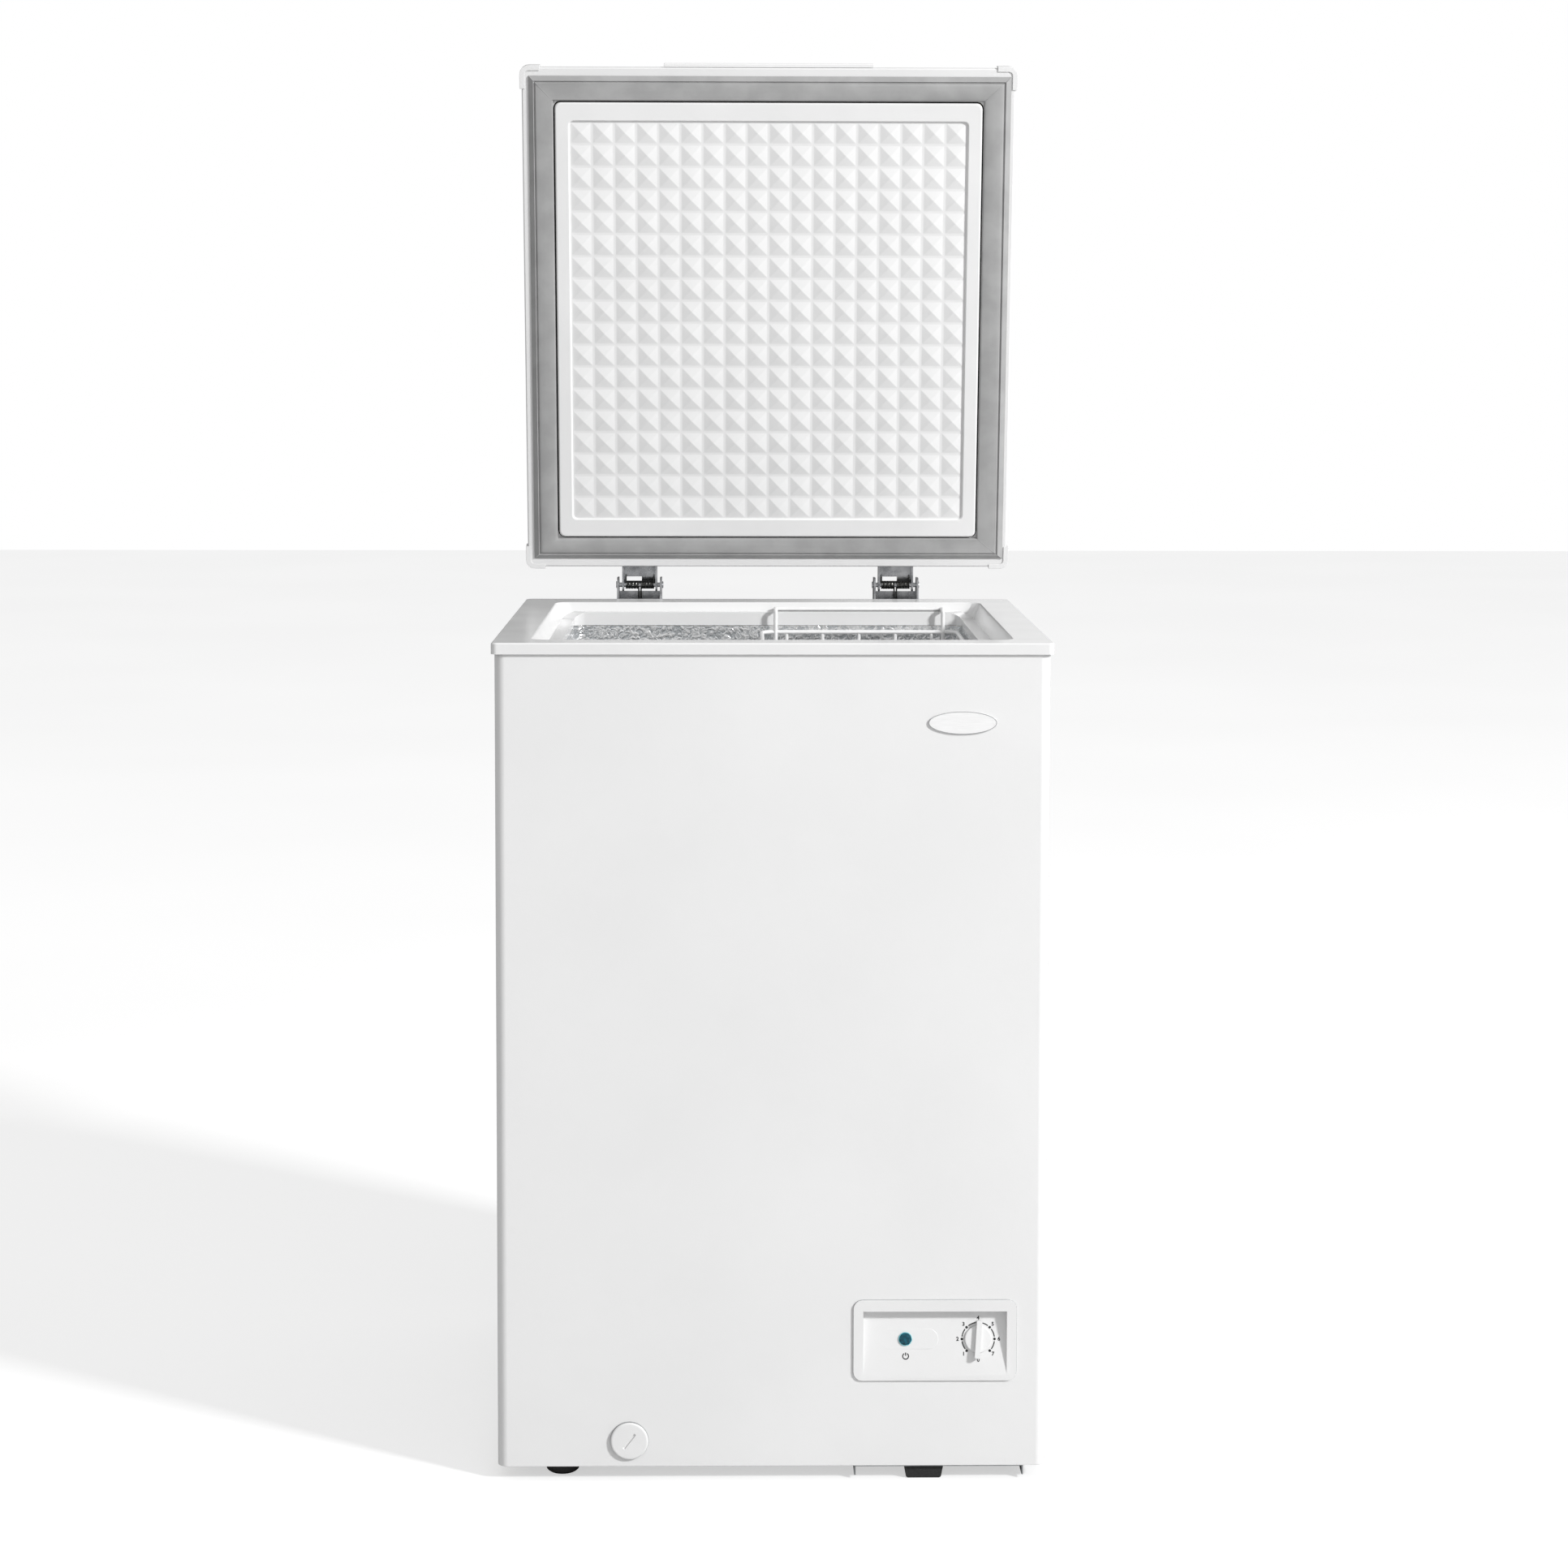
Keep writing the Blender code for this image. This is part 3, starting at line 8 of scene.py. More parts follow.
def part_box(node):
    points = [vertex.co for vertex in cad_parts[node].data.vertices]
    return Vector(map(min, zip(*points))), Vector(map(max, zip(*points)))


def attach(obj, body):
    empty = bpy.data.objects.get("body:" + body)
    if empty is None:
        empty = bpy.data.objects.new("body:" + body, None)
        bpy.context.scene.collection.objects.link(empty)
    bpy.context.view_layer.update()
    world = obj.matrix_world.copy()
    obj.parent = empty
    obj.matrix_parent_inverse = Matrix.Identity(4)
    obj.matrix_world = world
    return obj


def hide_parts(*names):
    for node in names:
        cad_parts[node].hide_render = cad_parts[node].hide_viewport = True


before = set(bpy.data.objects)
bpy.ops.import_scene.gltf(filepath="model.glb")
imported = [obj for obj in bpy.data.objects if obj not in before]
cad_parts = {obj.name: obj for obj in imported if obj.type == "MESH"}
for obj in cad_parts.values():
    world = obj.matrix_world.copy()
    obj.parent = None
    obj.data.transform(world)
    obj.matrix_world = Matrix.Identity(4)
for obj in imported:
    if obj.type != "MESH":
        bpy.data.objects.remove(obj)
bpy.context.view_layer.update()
scene = bpy.context.scene
collarLow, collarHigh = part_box("top_collar")
frontY = collarLow.y        # front face of the collar
collarTop = collarHigh.z
pinLow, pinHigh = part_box("hinge_pin_left")
pinY = (pinLow.y + pinHigh.y) / 2
pinZ = (pinLow.z + pinHigh.z) / 2
lidOpen = math.radians(81.0)   # how far the lid stands open at rest
lidBack = frontY + 0.5408      # back edge of the lid when shut
lidUnder = collarTop + 0.0068  # underside of the lid's frame when shut
lining = {"half": 0.2305, "near": lidBack - 0.513, "far": lidBack - 0.035}   # plan of the lid's lining
print("frame loaded")


cameraSettings = {
    "lens": 75.5,
    "sensor": 36.0,
    "place": (-0.0369, -3.1007, 1.0950),   # from the collar's front, in metres
    "down": 4.254,
    "right": 0.87,
    "roll": 0.109,
    "shiftY": -0.125,
}


def makeCamera(settings):
    data = bpy.data.cameras.new("camera")
    data.lens = settings["lens"]
    data.sensor_width = settings["sensor"]
    data.shift_y = settings["shiftY"]
    data.clip_end = 50
    camera = bpy.data.objects.new("camera", data)
    scene.collection.objects.link(camera)
    x, y, z = settings["place"]
    down = math.radians(settings["down"])
    right = math.radians(settings["right"])
    look = Vector((math.sin(right) * math.cos(down), math.cos(right) * math.cos(down), -math.sin(down)))
    roll = Matrix.Rotation(math.radians(settings["roll"]), 3, "Z").to_quaternion()
    camera.location = (x, y + frontY, z)
    camera.rotation_mode = "QUATERNION"
    camera.rotation_quaternion = look.to_track_quat("-Z", "Y") @ roll
    scene.camera = camera


lightSettings = {
    "key": {"place": (5.70, -4.14, 4.35), "size": 0.8, "power": 650},
    "room": 0.58,          # soft light from all round
    "backdrop": 1.0,       # how bright the backdrop looks
    "card": {"size": (5.0, 1.6), "place": (0.0, 2.6, 1.25), "turn": (0.18, 0.20), "shine": (0.08, 0.74)},
}


def makeLight(name, place, size, power):
    data = bpy.data.lights.new(name, "AREA")
    data.shape = "SQUARE"
    data.size = size
    data.energy = power
    light = bpy.data.objects.new(name, data)
    scene.collection.objects.link(light)
    light.location = place
    light.rotation_mode = "QUATERNION"
    light.rotation_quaternion = (Vector((0, 0, 0.75)) - Vector(place)).to_track_quat("-Z", "Y")


def stagePiece(name, bm, material):
    mesh = bpy.data.meshes.new(name)
    bm.to_mesh(mesh)
    bm.free()
    mesh.materials.append(material)
    piece = bpy.data.objects.new(name, mesh)
    scene.collection.objects.link(piece)
    return piece


def makeStage(settings):
    key = settings["key"]
    makeLight("key", key["place"], key["size"], key["power"])
    world = bpy.data.worlds.new("studio")
    world.use_nodes = True
    tree = world.node_tree
    room = tree.nodes["Background"]
    room.inputs["Color"].default_value = (1, 1, 1, 1)
    room.inputs["Strength"].default_value = settings["room"]
    paper = {"Color": (1, 1, 1, 1), "Strength": settings["backdrop"]}
    backdrop = addNode(tree, "ShaderNodeBackground", paper)
    sight = addNode(tree, "ShaderNodeLightPath").outputs["Is Camera Ray"]
    mix = addNode(tree, "ShaderNodeMixShader", {}, {0: sight, 1: room, 2: backdrop})
    plug(tree, tree.nodes["World Output"], {"Surface": mix})
    scene.world = world
    scene.view_settings.view_transform = "Standard"
    bm = bmesh.new()
    bmesh.ops.create_grid(bm, x_segments=1, y_segments=1, size=14)
    stagePiece("floor", bm, lightTable())
    card = settings["card"]
    bm = bmesh.new()
    bmesh.ops.create_grid(bm, x_segments=1, y_segments=1, size=0.5)
    bmesh.ops.scale(bm, vec=(*card["size"], 1), verts=bm.verts)
    bmesh.ops.rotate(bm, cent=(0, 0, 0), matrix=Matrix.Rotation(math.pi / 2, 3, "X"), verts=bm.verts)
    bmesh.ops.translate(bm, vec=card["place"], verts=bm.verts)
    sheet = stagePiece("reflectionCard", bm, reflectionCard(card))
    sheet.visible_camera = False
    sheet.visible_diffuse = False
    sheet.visible_shadow = False


mm = 0.001


def linear(hexCode):
    channels = [int(hexCode[i:i + 2], 16) / 255 for i in (1, 3, 5)]
    return tuple(c / 12.92 if c <= 0.04045 else ((c + 0.055) / 1.055) ** 2.4 for c in channels) + (1.0,)


def plug(tree, node, links):
    # wires each named input to an output, or to a node's first output
    for key, source in links.items():
        output = source if isinstance(source, bpy.types.NodeSocket) else source.outputs[0]
        tree.links.new(output, node.inputs[key])


def addNode(tree, kind, settings=None, links=None, stops=()):
    # one node with its options, its inputs and, on a ramp, its two colours
    node = tree.nodes.new(kind)
    for key, value in (settings or {}).items():
        if isinstance(key, str) and hasattr(node, key):
            setattr(node, key, value)
        else:
            node.inputs[key].default_value = value
    for number, (position, hexCode) in enumerate(stops):
        node.color_ramp.elements[number].position = position
        node.color_ramp.elements[number].color = linear(hexCode)
    plug(tree, node, links or {})
    return node


def newMaterial(name, roughness, metallic=0.0, ior=None, coat=0.0):
    material = bpy.data.materials.new(name)
    material.use_nodes = True
    tree = material.node_tree
    shader = tree.nodes["Principled BSDF"]
    shader.inputs["Roughness"].default_value = roughness
    shader.inputs["Metallic"].default_value = metallic
    shader.inputs["Coat Weight"].default_value = coat
    if ior:
        shader.inputs["IOR"].default_value = ior
    place = addNode(tree, "ShaderNodeTexCoord").outputs["Object"]
    return material, tree, shader, place


def lightTable():
    # opal acrylic table: a plain pale ground that looks bright but throws little light back
    material, tree, shader, place = newMaterial("opal acrylic light table", 0.8)
    cloud = addNode(tree, "ShaderNodeTexNoise", {"Scale": 1 / (1250 * mm)}, {"Vector": place})
    colour = addNode(tree, "ShaderNodeValToRGB", {}, {"Fac": cloud}, ((0.35, "#BBBBBB"), (0.65, "#BFBFBF")))
    shader.inputs["Emission Color"].default_value = (1, 1, 1, 1)
    sight = addNode(tree, "ShaderNodeLightPath").outputs["Is Camera Ray"]
    glow = addNode(tree, "ShaderNodeMath", {"operation": "MULTIPLY", 1: 0.56}, {0: sight})
    plug(tree, shader, {"Base Color": colour, "Emission Strength": glow})
    return material


def reflectionCard(settings):
    # paper card that glossy edges mirror: dim at the left, bright at the right
    material, tree, shader, place = newMaterial("paper reflection card", 0.9)
    across = addNode(tree, "ShaderNodeSeparateXYZ", links={"Vector": place}).outputs["X"]
    middle, half = settings["turn"]
    dim, bright = settings["shine"]
    shine = addNode(tree, "ShaderNodeMapRange", {"From Min": middle - half, "From Max": middle + half,
                                                 "To Min": dim, "To Max": bright}, {"Value": across})
    shader.inputs["Base Color"].default_value = linear("#000000")
    shader.inputs["Emission Color"].default_value = linear("#FFFFFF")
    plug(tree, shader, {"Emission Strength": shine})
    return material


def whiteEnamel():
    # powder-baked enamel on rolled steel: even and glossy, with a faint orange peel 2 mm across
    material, tree, shader, place = newMaterial("white enamel on steel sheet", 0.32, ior=1.5)
    peel = addNode(tree, "ShaderNodeTexNoise", {"Scale": 1 / (2 * mm), "Detail": 2.0, "Roughness": 0.4},
                   {"Vector": place})
    cloud = addNode(tree, "ShaderNodeTexNoise", {"Scale": 1 / (170 * mm), "Detail": 3.0}, {"Vector": place})
    colour = addNode(tree, "ShaderNodeValToRGB", {}, {"Fac": cloud}, ((0.35, "#E0E0E0"), (0.65, "#E3E3E3")))
    gloss = addNode(tree, "ShaderNodeMapRange", {"To Min": 0.28, "To Max": 0.38}, {"Value": cloud})
    skin = addNode(tree, "ShaderNodeBump", {"Strength": 0.06, "Distance": 0.4 * mm}, {"Height": peel})
    plug(tree, shader, {"Base Color": colour, "Roughness": gloss, "Normal": skin})
    return material


def mouldedWhite(name, roughness, first, second):
    # injection-moulded high-impact polystyrene: clean soft gloss over a mould texture under 1 mm
    material, tree, shader, place = newMaterial(name, roughness, ior=1.59)
    grain = addNode(tree, "ShaderNodeTexNoise", {"Scale": 1 / (0.7 * mm), "Detail": 3.0}, {"Vector": place})
    cloud = addNode(tree, "ShaderNodeTexNoise", {"Scale": 1 / (110 * mm), "Detail": 2.0}, {"Vector": place})
    colour = addNode(tree, "ShaderNodeValToRGB", {}, {"Fac": cloud}, ((0.35, first), (0.65, second)))
    gloss = addNode(tree, "ShaderNodeMapRange", {"To Min": roughness - 0.04, "To Max": roughness + 0.06},
                    {"Value": cloud})
    skin = addNode(tree, "ShaderNodeBump", {"Strength": 0.05, "Distance": 0.1 * mm}, {"Height": grain})
    plug(tree, shader, {"Base Color": colour, "Roughness": gloss, "Normal": skin})
    return material


def formedPanel():
    # vacuum-formed sheet on the lid's inside: satin white, a little softer than the moulded frame
    material, tree, shader, place = newMaterial("white vacuum-formed sheet", 0.42, ior=1.59)
    cloud = addNode(tree, "ShaderNodeTexNoise", {"Scale": 1 / (70 * mm), "Detail": 3.0}, {"Vector": place})
    grain = addNode(tree, "ShaderNodeTexNoise", {"Scale": 1 / (0.6 * mm), "Detail": 2.0}, {"Vector": place})
    colour = addNode(tree, "ShaderNodeValToRGB", {}, {"Fac": cloud}, ((0.35, "#E1E1E1"), (0.65, "#E4E4E4")))
    gloss = addNode(tree, "ShaderNodeMapRange", {"To Min": 0.38, "To Max": 0.48}, {"Value": cloud})
    skin = addNode(tree, "ShaderNodeBump", {"Strength": 0.05, "Distance": 0.1 * mm}, {"Height": grain})
    plug(tree, shader, {"Base Color": colour, "Roughness": gloss, "Normal": skin})
    return material


def coatedWire():
    # steel wire dipped in white polyethylene: waxy gloss with slow thick and thin runs 6 mm long
    material, tree, shader, place = newMaterial("white dipped polyethylene", 0.30, ior=1.51, coat=0.2)
    runs = addNode(tree, "ShaderNodeTexNoise", {"Scale": 1 / (6 * mm), "Detail": 2.0}, {"Vector": place})
    colour = addNode(tree, "ShaderNodeValToRGB", {}, {"Fac": runs}, ((0.35, "#E6E6E6"), (0.65, "#EBEBEB")))
    skin = addNode(tree, "ShaderNodeBump", {"Strength": 0.12, "Distance": 0.6 * mm}, {"Height": runs})
    plug(tree, shader, {"Base Color": colour, "Normal": skin})
    return material


def gasketVinyl():
    # extruded soft vinyl with a magnet strip inside: mid grey, dull, with handling marks 25 mm long
    material, tree, shader, place = newMaterial("grey extruded soft vinyl", 0.52, ior=1.53)
    cloud = addNode(tree, "ShaderNodeTexNoise", {"Scale": 1 / (25 * mm), "Detail": 4.0}, {"Vector": place})
    colour = addNode(tree, "ShaderNodeValToRGB", {}, {"Fac": cloud}, ((0.35, "#989898"), (0.65, "#A2A2A2")))
    gloss = addNode(tree, "ShaderNodeMapRange", {"To Min": 0.45, "To Max": 0.6}, {"Value": cloud})
    skin = addNode(tree, "ShaderNodeBump", {"Strength": 0.1, "Distance": 0.3 * mm}, {"Height": cloud})
    plug(tree, shader, {"Base Color": colour, "Roughness": gloss, "Normal": skin})
    return material


def stuccoAluminium():
    # rolled, clear-lacquered aluminium sheet with worm-like stucco, a wave every 6 mm: broken reflections,
    # with painted shade in the emboss's hollows and a painted highlight on its crests
    material, tree, shader, place = newMaterial("stucco-embossed aluminium", 0.24, metallic=0.8)
    worm = addNode(tree, "ShaderNodeTexNoise", {"Scale": 1 / (6 * mm), "Detail": 0.0, "Distortion": 1.6},
                   {"Vector": place})
    pits = addNode(tree, "ShaderNodeTexNoise", {"Scale": 1 / (1.6 * mm), "Detail": 1.0}, {"Vector": place})
    height = addNode(tree, "ShaderNodeMath", {"operation": "MULTIPLY_ADD", 1: 0.25}, {0: pits, 2: worm})
    # colour follows the emboss height: painted shade, grey in the hollows, and a painted highlight, white
    # on the crests
    colour = addNode(tree, "ShaderNodeValToRGB", {}, {"Fac": worm}, ((0.38, "#CDD0D2"), (0.62, "#FAFAFA")))
    gloss = addNode(tree, "ShaderNodeMapRange", {"To Min": 0.34, "To Max": 0.16}, {"Value": worm})
    skin = addNode(tree, "ShaderNodeBump", {"Strength": 0.7, "Distance": 1.4 * mm}, {"Height": height})
    plug(tree, shader, {"Base Color": colour, "Roughness": gloss, "Normal": skin})
    return material


def galvanisedSteel():
    # hot-dip zinc: grey with soft crystalline spangle 9 mm across
    material, tree, shader, place = newMaterial("galvanised steel sheet", 0.38, metallic=1.0)
    grains = addNode(tree, "ShaderNodeTexVoronoi", {"Scale": 1 / (9 * mm)}, {"Vector": place})
    spangle = grains.outputs["Color"]
    scuff = addNode(tree, "ShaderNodeTexNoise", {"Scale": 1 / (4 * mm), "Detail": 4.0}, {"Vector": place})
    colour = addNode(tree, "ShaderNodeValToRGB", {}, {"Fac": spangle}, ((0.1, "#989B9D"), (0.9, "#B9BCBE")))
    gloss = addNode(tree, "ShaderNodeMapRange", {"To Min": 0.28, "To Max": 0.5}, {"Value": spangle})
    skin = addNode(tree, "ShaderNodeBump", {"Strength": 0.08, "Distance": 0.3 * mm}, {"Height": scuff})
    plug(tree, shader, {"Base Color": colour, "Roughness": gloss, "Normal": skin})
    return material


def nickelPlate():
    # bright zinc-nickel plate on pressed steel: cool, half mirror, with die marks 10 mm long
    material, tree, shader, place = newMaterial("bright nickel plate", 0.24, metallic=1.0)
    marks = addNode(tree, "ShaderNodeTexNoise", {"Scale": 1 / (10 * mm), "Detail": 5.0}, {"Vector": place})
    colour = addNode(tree, "ShaderNodeValToRGB", {}, {"Fac": marks}, ((0.35, "#A3A4A7"), (0.65, "#CBCCCE")))
    gloss = addNode(tree, "ShaderNodeMapRange", {"To Min": 0.18, "To Max": 0.36}, {"Value": marks})
    skin = addNode(tree, "ShaderNodeBump", {"Strength": 0.12, "Distance": 0.4 * mm}, {"Height": marks})
    plug(tree, shader, {"Base Color": colour, "Roughness": gloss, "Normal": skin})
    return material


def springSteel():
    # oil-tempered spring wire: dark, with a draw grain 1.4 mm long
    material, tree, shader, place = newMaterial("oil-tempered spring wire", 0.32, metallic=1.0)
    marks = addNode(tree, "ShaderNodeTexNoise", {"Scale": 1 / (1.4 * mm), "Detail": 2.0}, {"Vector": place})
    colour = addNode(tree, "ShaderNodeValToRGB", {}, {"Fac": marks}, ((0.35, "#454543"), (0.65, "#6A6A68")))
    gloss = addNode(tree, "ShaderNodeMapRange", {"To Min": 0.25, "To Max": 0.42}, {"Value": marks})
    plug(tree, shader, {"Base Color": colour, "Roughness": gloss})
    return material


def foamCore():
    # poured polyurethane foam: pale buff, with pores 1 mm across at the cut edges
    material, tree, shader, place = newMaterial("poured polyurethane foam", 0.9)
    pores = addNode(tree, "ShaderNodeTexVoronoi", {"Scale": 1 / (1.1 * mm)}, {"Vector": place})
    colour = addNode(tree, "ShaderNodeValToRGB", {}, {"Fac": pores}, ((0.35, "#CDB57C"), (0.65, "#E3D2A4")))
    skin = addNode(tree, "ShaderNodeBump", {"Strength": 0.4, "Distance": 0.6 * mm}, {"Height": pores})
    plug(tree, shader, {"Base Color": colour, "Normal": skin})
    return material


def copperTube():
    # drawn copper, dulled by handling in patches 17 mm across
    material, tree, shader, place = newMaterial("drawn copper tube", 0.32, metallic=1.0)
    dull = addNode(tree, "ShaderNodeTexNoise", {"Scale": 1 / (17 * mm), "Detail": 4.0}, {"Vector": place})
    colour = addNode(tree, "ShaderNodeValToRGB", {}, {"Fac": dull}, ((0.35, "#A8694A"), (0.65, "#D39A76")))
    gloss = addNode(tree, "ShaderNodeMapRange", {"To Min": 0.25, "To Max": 0.5}, {"Value": dull})
    plug(tree, shader, {"Base Color": colour, "Roughness": gloss})
    return material


def blackEnamel():
    # stoved black on the compressor's shell, with a little dust in patches 33 mm across
    material, tree, shader, place = newMaterial("stoved black enamel", 0.32, ior=1.5)
    dust = addNode(tree, "ShaderNodeTexNoise", {"Scale": 1 / (33 * mm), "Detail": 5.0}, {"Vector": place})
    colour = addNode(tree, "ShaderNodeValToRGB", {}, {"Fac": dust}, ((0.35, "#101010"), (0.65, "#1E1E1E")))
    gloss = addNode(tree, "ShaderNodeMapRange", {"To Min": 0.26, "To Max": 0.5}, {"Value": dust})
    plug(tree, shader, {"Base Color": colour, "Roughness": gloss})
    return material


def blackRubber():
    # pressed rubber: nearly black, dull, with a moulded grain 1 mm across
    material, tree, shader, place = newMaterial("black pressed rubber", 0.72, ior=1.52)
    grain = addNode(tree, "ShaderNodeTexNoise", {"Scale": 1 / (1.1 * mm), "Detail": 3.0}, {"Vector": place})
    colour = addNode(tree, "ShaderNodeValToRGB", {}, {"Fac": grain}, ((0.35, "#151515"), (0.65, "#242424")))
    skin = addNode(tree, "ShaderNodeBump", {"Strength": 0.25, "Distance": 0.3 * mm}, {"Height": grain})
    plug(tree, shader, {"Base Color": colour, "Normal": skin})
    return material


def tealLens():
    # tinted acrylic over a lamp: deep teal, polished, with a cloudy depth 4 mm across
    material, tree, shader, place = newMaterial("teal tinted acrylic", 0.12, ior=1.49)
    depth = addNode(tree, "ShaderNodeTexNoise", {"Scale": 1 / (4 * mm), "Detail": 1.0}, {"Vector": place})
    colour = addNode(tree, "ShaderNodeValToRGB", {}, {"Fac": depth}, ((0.35, "#02303C"), (0.65, "#04586A")))
    plug(tree, shader, {"Base Color": colour})
    return material


def tealRim():
    # edge of the lens, where the tinted acrylic is thin: painted in paler teal, a painted highlight for the
    # light it catches
    material, tree, shader, place = newMaterial("teal acrylic edge with painted highlight", 0.2, ior=1.49)
    depth = addNode(tree, "ShaderNodeTexNoise", {"Scale": 1 / (3 * mm), "Detail": 1.0}, {"Vector": place})
    colour = addNode(tree, "ShaderNodeValToRGB", {}, {"Fac": depth}, ((0.35, "#3FA5B4"), (0.65, "#8FD3DC")))
    plug(tree, shader, {"Base Color": colour})
    return material


def pearlBadge():
    # stamped plate under pearl lacquer: almost the white of the sheet, brushed lengthwise
    material, tree, shader, place = newMaterial("pearl lacquered plate", 0.22, ior=1.5, coat=0.3)
    along = addNode(tree, "ShaderNodeMapping", {"Scale": (1 / (11 * mm), 1 / (0.4 * mm), 1 / (0.4 * mm))},
                    {"Vector": place})
    lines = addNode(tree, "ShaderNodeTexNoise", {"Scale": 1.0, "Detail": 3.0}, {"Vector": along})
    colour = addNode(tree, "ShaderNodeValToRGB", {}, {"Fac": lines}, ((0.35, "#E4E4E4"), (0.65, "#EBEBEB")))
    gloss = addNode(tree, "ShaderNodeMapRange", {"To Min": 0.18, "To Max": 0.3}, {"Value": lines})
    plug(tree, shader, {"Base Color": colour, "Roughness": gloss})
    return material


def printedInk(name, first, second):
    # pad-printed ink: flat, with a slightly uneven film
    material, tree, shader, place = newMaterial(name, 0.5)
    film = addNode(tree, "ShaderNodeTexNoise", {"Scale": 1 / (1.1 * mm), "Detail": 2.0}, {"Vector": place})
    colour = addNode(tree, "ShaderNodeValToRGB", {}, {"Fac": film}, ((0.35, first), (0.65, second)))
    plug(tree, shader, {"Base Color": colour})
    return material


finishes = {
    "enamel": whiteEnamel(),
    "moulded": mouldedWhite("white moulded polystyrene", 0.30, "#DFDFDF", "#E2E2E2"),
    "collar": mouldedWhite("white moulded collar", 0.20, "#DFDFDF", "#E2E2E2"),
    "formed": formedPanel(),
    "wire": coatedWire(),
    "gasket": gasketVinyl(),
    "stucco": stuccoAluminium(),
    "zinc": galvanisedSteel(),
    "nickel": nickelPlate(),
    "spring": springSteel(),
    "foam": foamCore(),
    "copper": copperTube(),
    "black": blackEnamel(),
    "rubber": blackRubber(),
    "lens": tealLens(),
    "lensHighlight": tealRim(),
    "badge": pearlBadge(),
    "ink": printedInk("black pad-printed ink", "#161718", "#232425"),
    # grey line: stamped on the badge, and painted shade at the bezel's and the drain cap's joints
    "line": printedInk("grey stamped line and painted joint shade", "#9A9C9D", "#A9ABAC"),
}
print("materials made")


def finishMesh(bm, name, finish, body, smooth=40):
    mesh = bpy.data.meshes.new(name)
    bmesh.ops.remove_doubles(bm, verts=bm.verts, dist=0.000002)
    bmesh.ops.recalc_face_normals(bm, faces=bm.faces)
    bm.to_mesh(mesh)
    bm.free()
    mesh.shade_smooth()
    mesh.set_sharp_from_angle(angle=math.radians(smooth))
    mesh.materials.append(finishes[finish])
    piece = bpy.data.objects.new(name, mesh)
    scene.collection.objects.link(piece)
    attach(piece, body)
    return piece


def mergedCopy(node):
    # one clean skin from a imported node, with its flat areas as single faces
    bm = bmesh.new()
    bm.from_mesh(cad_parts[node].data)
    bmesh.ops.remove_doubles(bm, verts=bm.verts, dist=0.00001)
    bmesh.ops.dissolve_limit(bm, angle_limit=math.radians(0.5), verts=bm.verts, edges=bm.edges)
    bmesh.ops.recalc_face_normals(bm, faces=bm.faces)
    return bm


def softened(node, name, finish, body, slotName, width, segments=2, sharp=32, smooth=40):
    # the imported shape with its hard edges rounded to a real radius
    bm = mergedCopy(node)
    hard = [e for e in bm.edges if len(e.link_faces) == 2 and e.calc_face_angle(0) > math.radians(sharp)]
    bmesh.ops.bevel(bm, geom=hard, offset=width, offset_type="OFFSET", segments=segments, profile=0.5,
                    affect="EDGES", material=-1, clamp_overlap=True)
    piece = finishMesh(bm, name, finish, body, smooth)
    even = piece.modifiers.new("evenShading", "WEIGHTED_NORMAL")
    even.keep_sharp = True   # broad faces stay flat beside their rounded edges
    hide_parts(node)
    return piece


def openLid(bm):
    # swings a shape laid out with the lid shut up to the standing pose
    bmesh.ops.rotate(bm, cent=(0, pinY, pinZ), matrix=Matrix.Rotation(-lidOpen, 3, "X"), verts=bm.verts)


def absorb(bm, other):
    mesh = bpy.data.meshes.new("part")
    other.to_mesh(mesh)
    other.free()
    bm.from_mesh(mesh)
    bpy.data.meshes.remove(mesh)


def wirePath(bm, points, radius, sides=10, closed=False):
    # a round wire swept along points, then added to the shape
    curve = bpy.data.curves.new("wire", "CURVE")
    curve.dimensions = "3D"
    curve.bevel_depth = radius
    curve.bevel_resolution = max(1, sides // 4 - 1)
    curve.use_fill_caps = not closed
    spline = curve.splines.new("POLY")
    spline.points.add(len(points) - 1)
    for target, point in zip(spline.points, points):
        target.co = (*point, 1.0)
    spline.use_cyclic_u = closed
    holder = bpy.data.objects.new("wire", curve)
    scene.collection.objects.link(holder)
    bpy.context.view_layer.update()
    mesh = bpy.data.meshes.new_from_object(holder)
    part = bmesh.new()
    part.from_mesh(mesh)
    bpy.data.objects.remove(holder)
    bpy.data.curves.remove(curve)
    bpy.data.meshes.remove(mesh)
    bmesh.ops.remove_doubles(part, verts=part.verts, dist=0.000002)
    absorb(bm, part)


def rounded(corners, radius, steps=5, closed=False):
    # replaces each corner of a path by a bend
    corners = [Vector(c) for c in corners]
    count = len(corners)
    points = [] if closed else [corners[0]]
    for i in range(count if closed else count - 2):
        before, corner, after = (corners[(i + k) % count] for k in range(3))
        start = corner + (before - corner).normalized() * radius
        end = corner + (after - corner).normalized() * radius
        for step in range(steps + 1):
            t = step / steps
            points.append(start.lerp(corner, t).lerp(corner.lerp(end, t), t))
    return points if closed else points + [corners[-1]]


def ovalPath(across, up, steps):
    # points round an oval with the given half sizes, as pairs
    turns = [2 * math.pi * i / steps for i in range(steps)]
    return [(across * math.cos(turn), up * math.sin(turn)) for turn in turns]


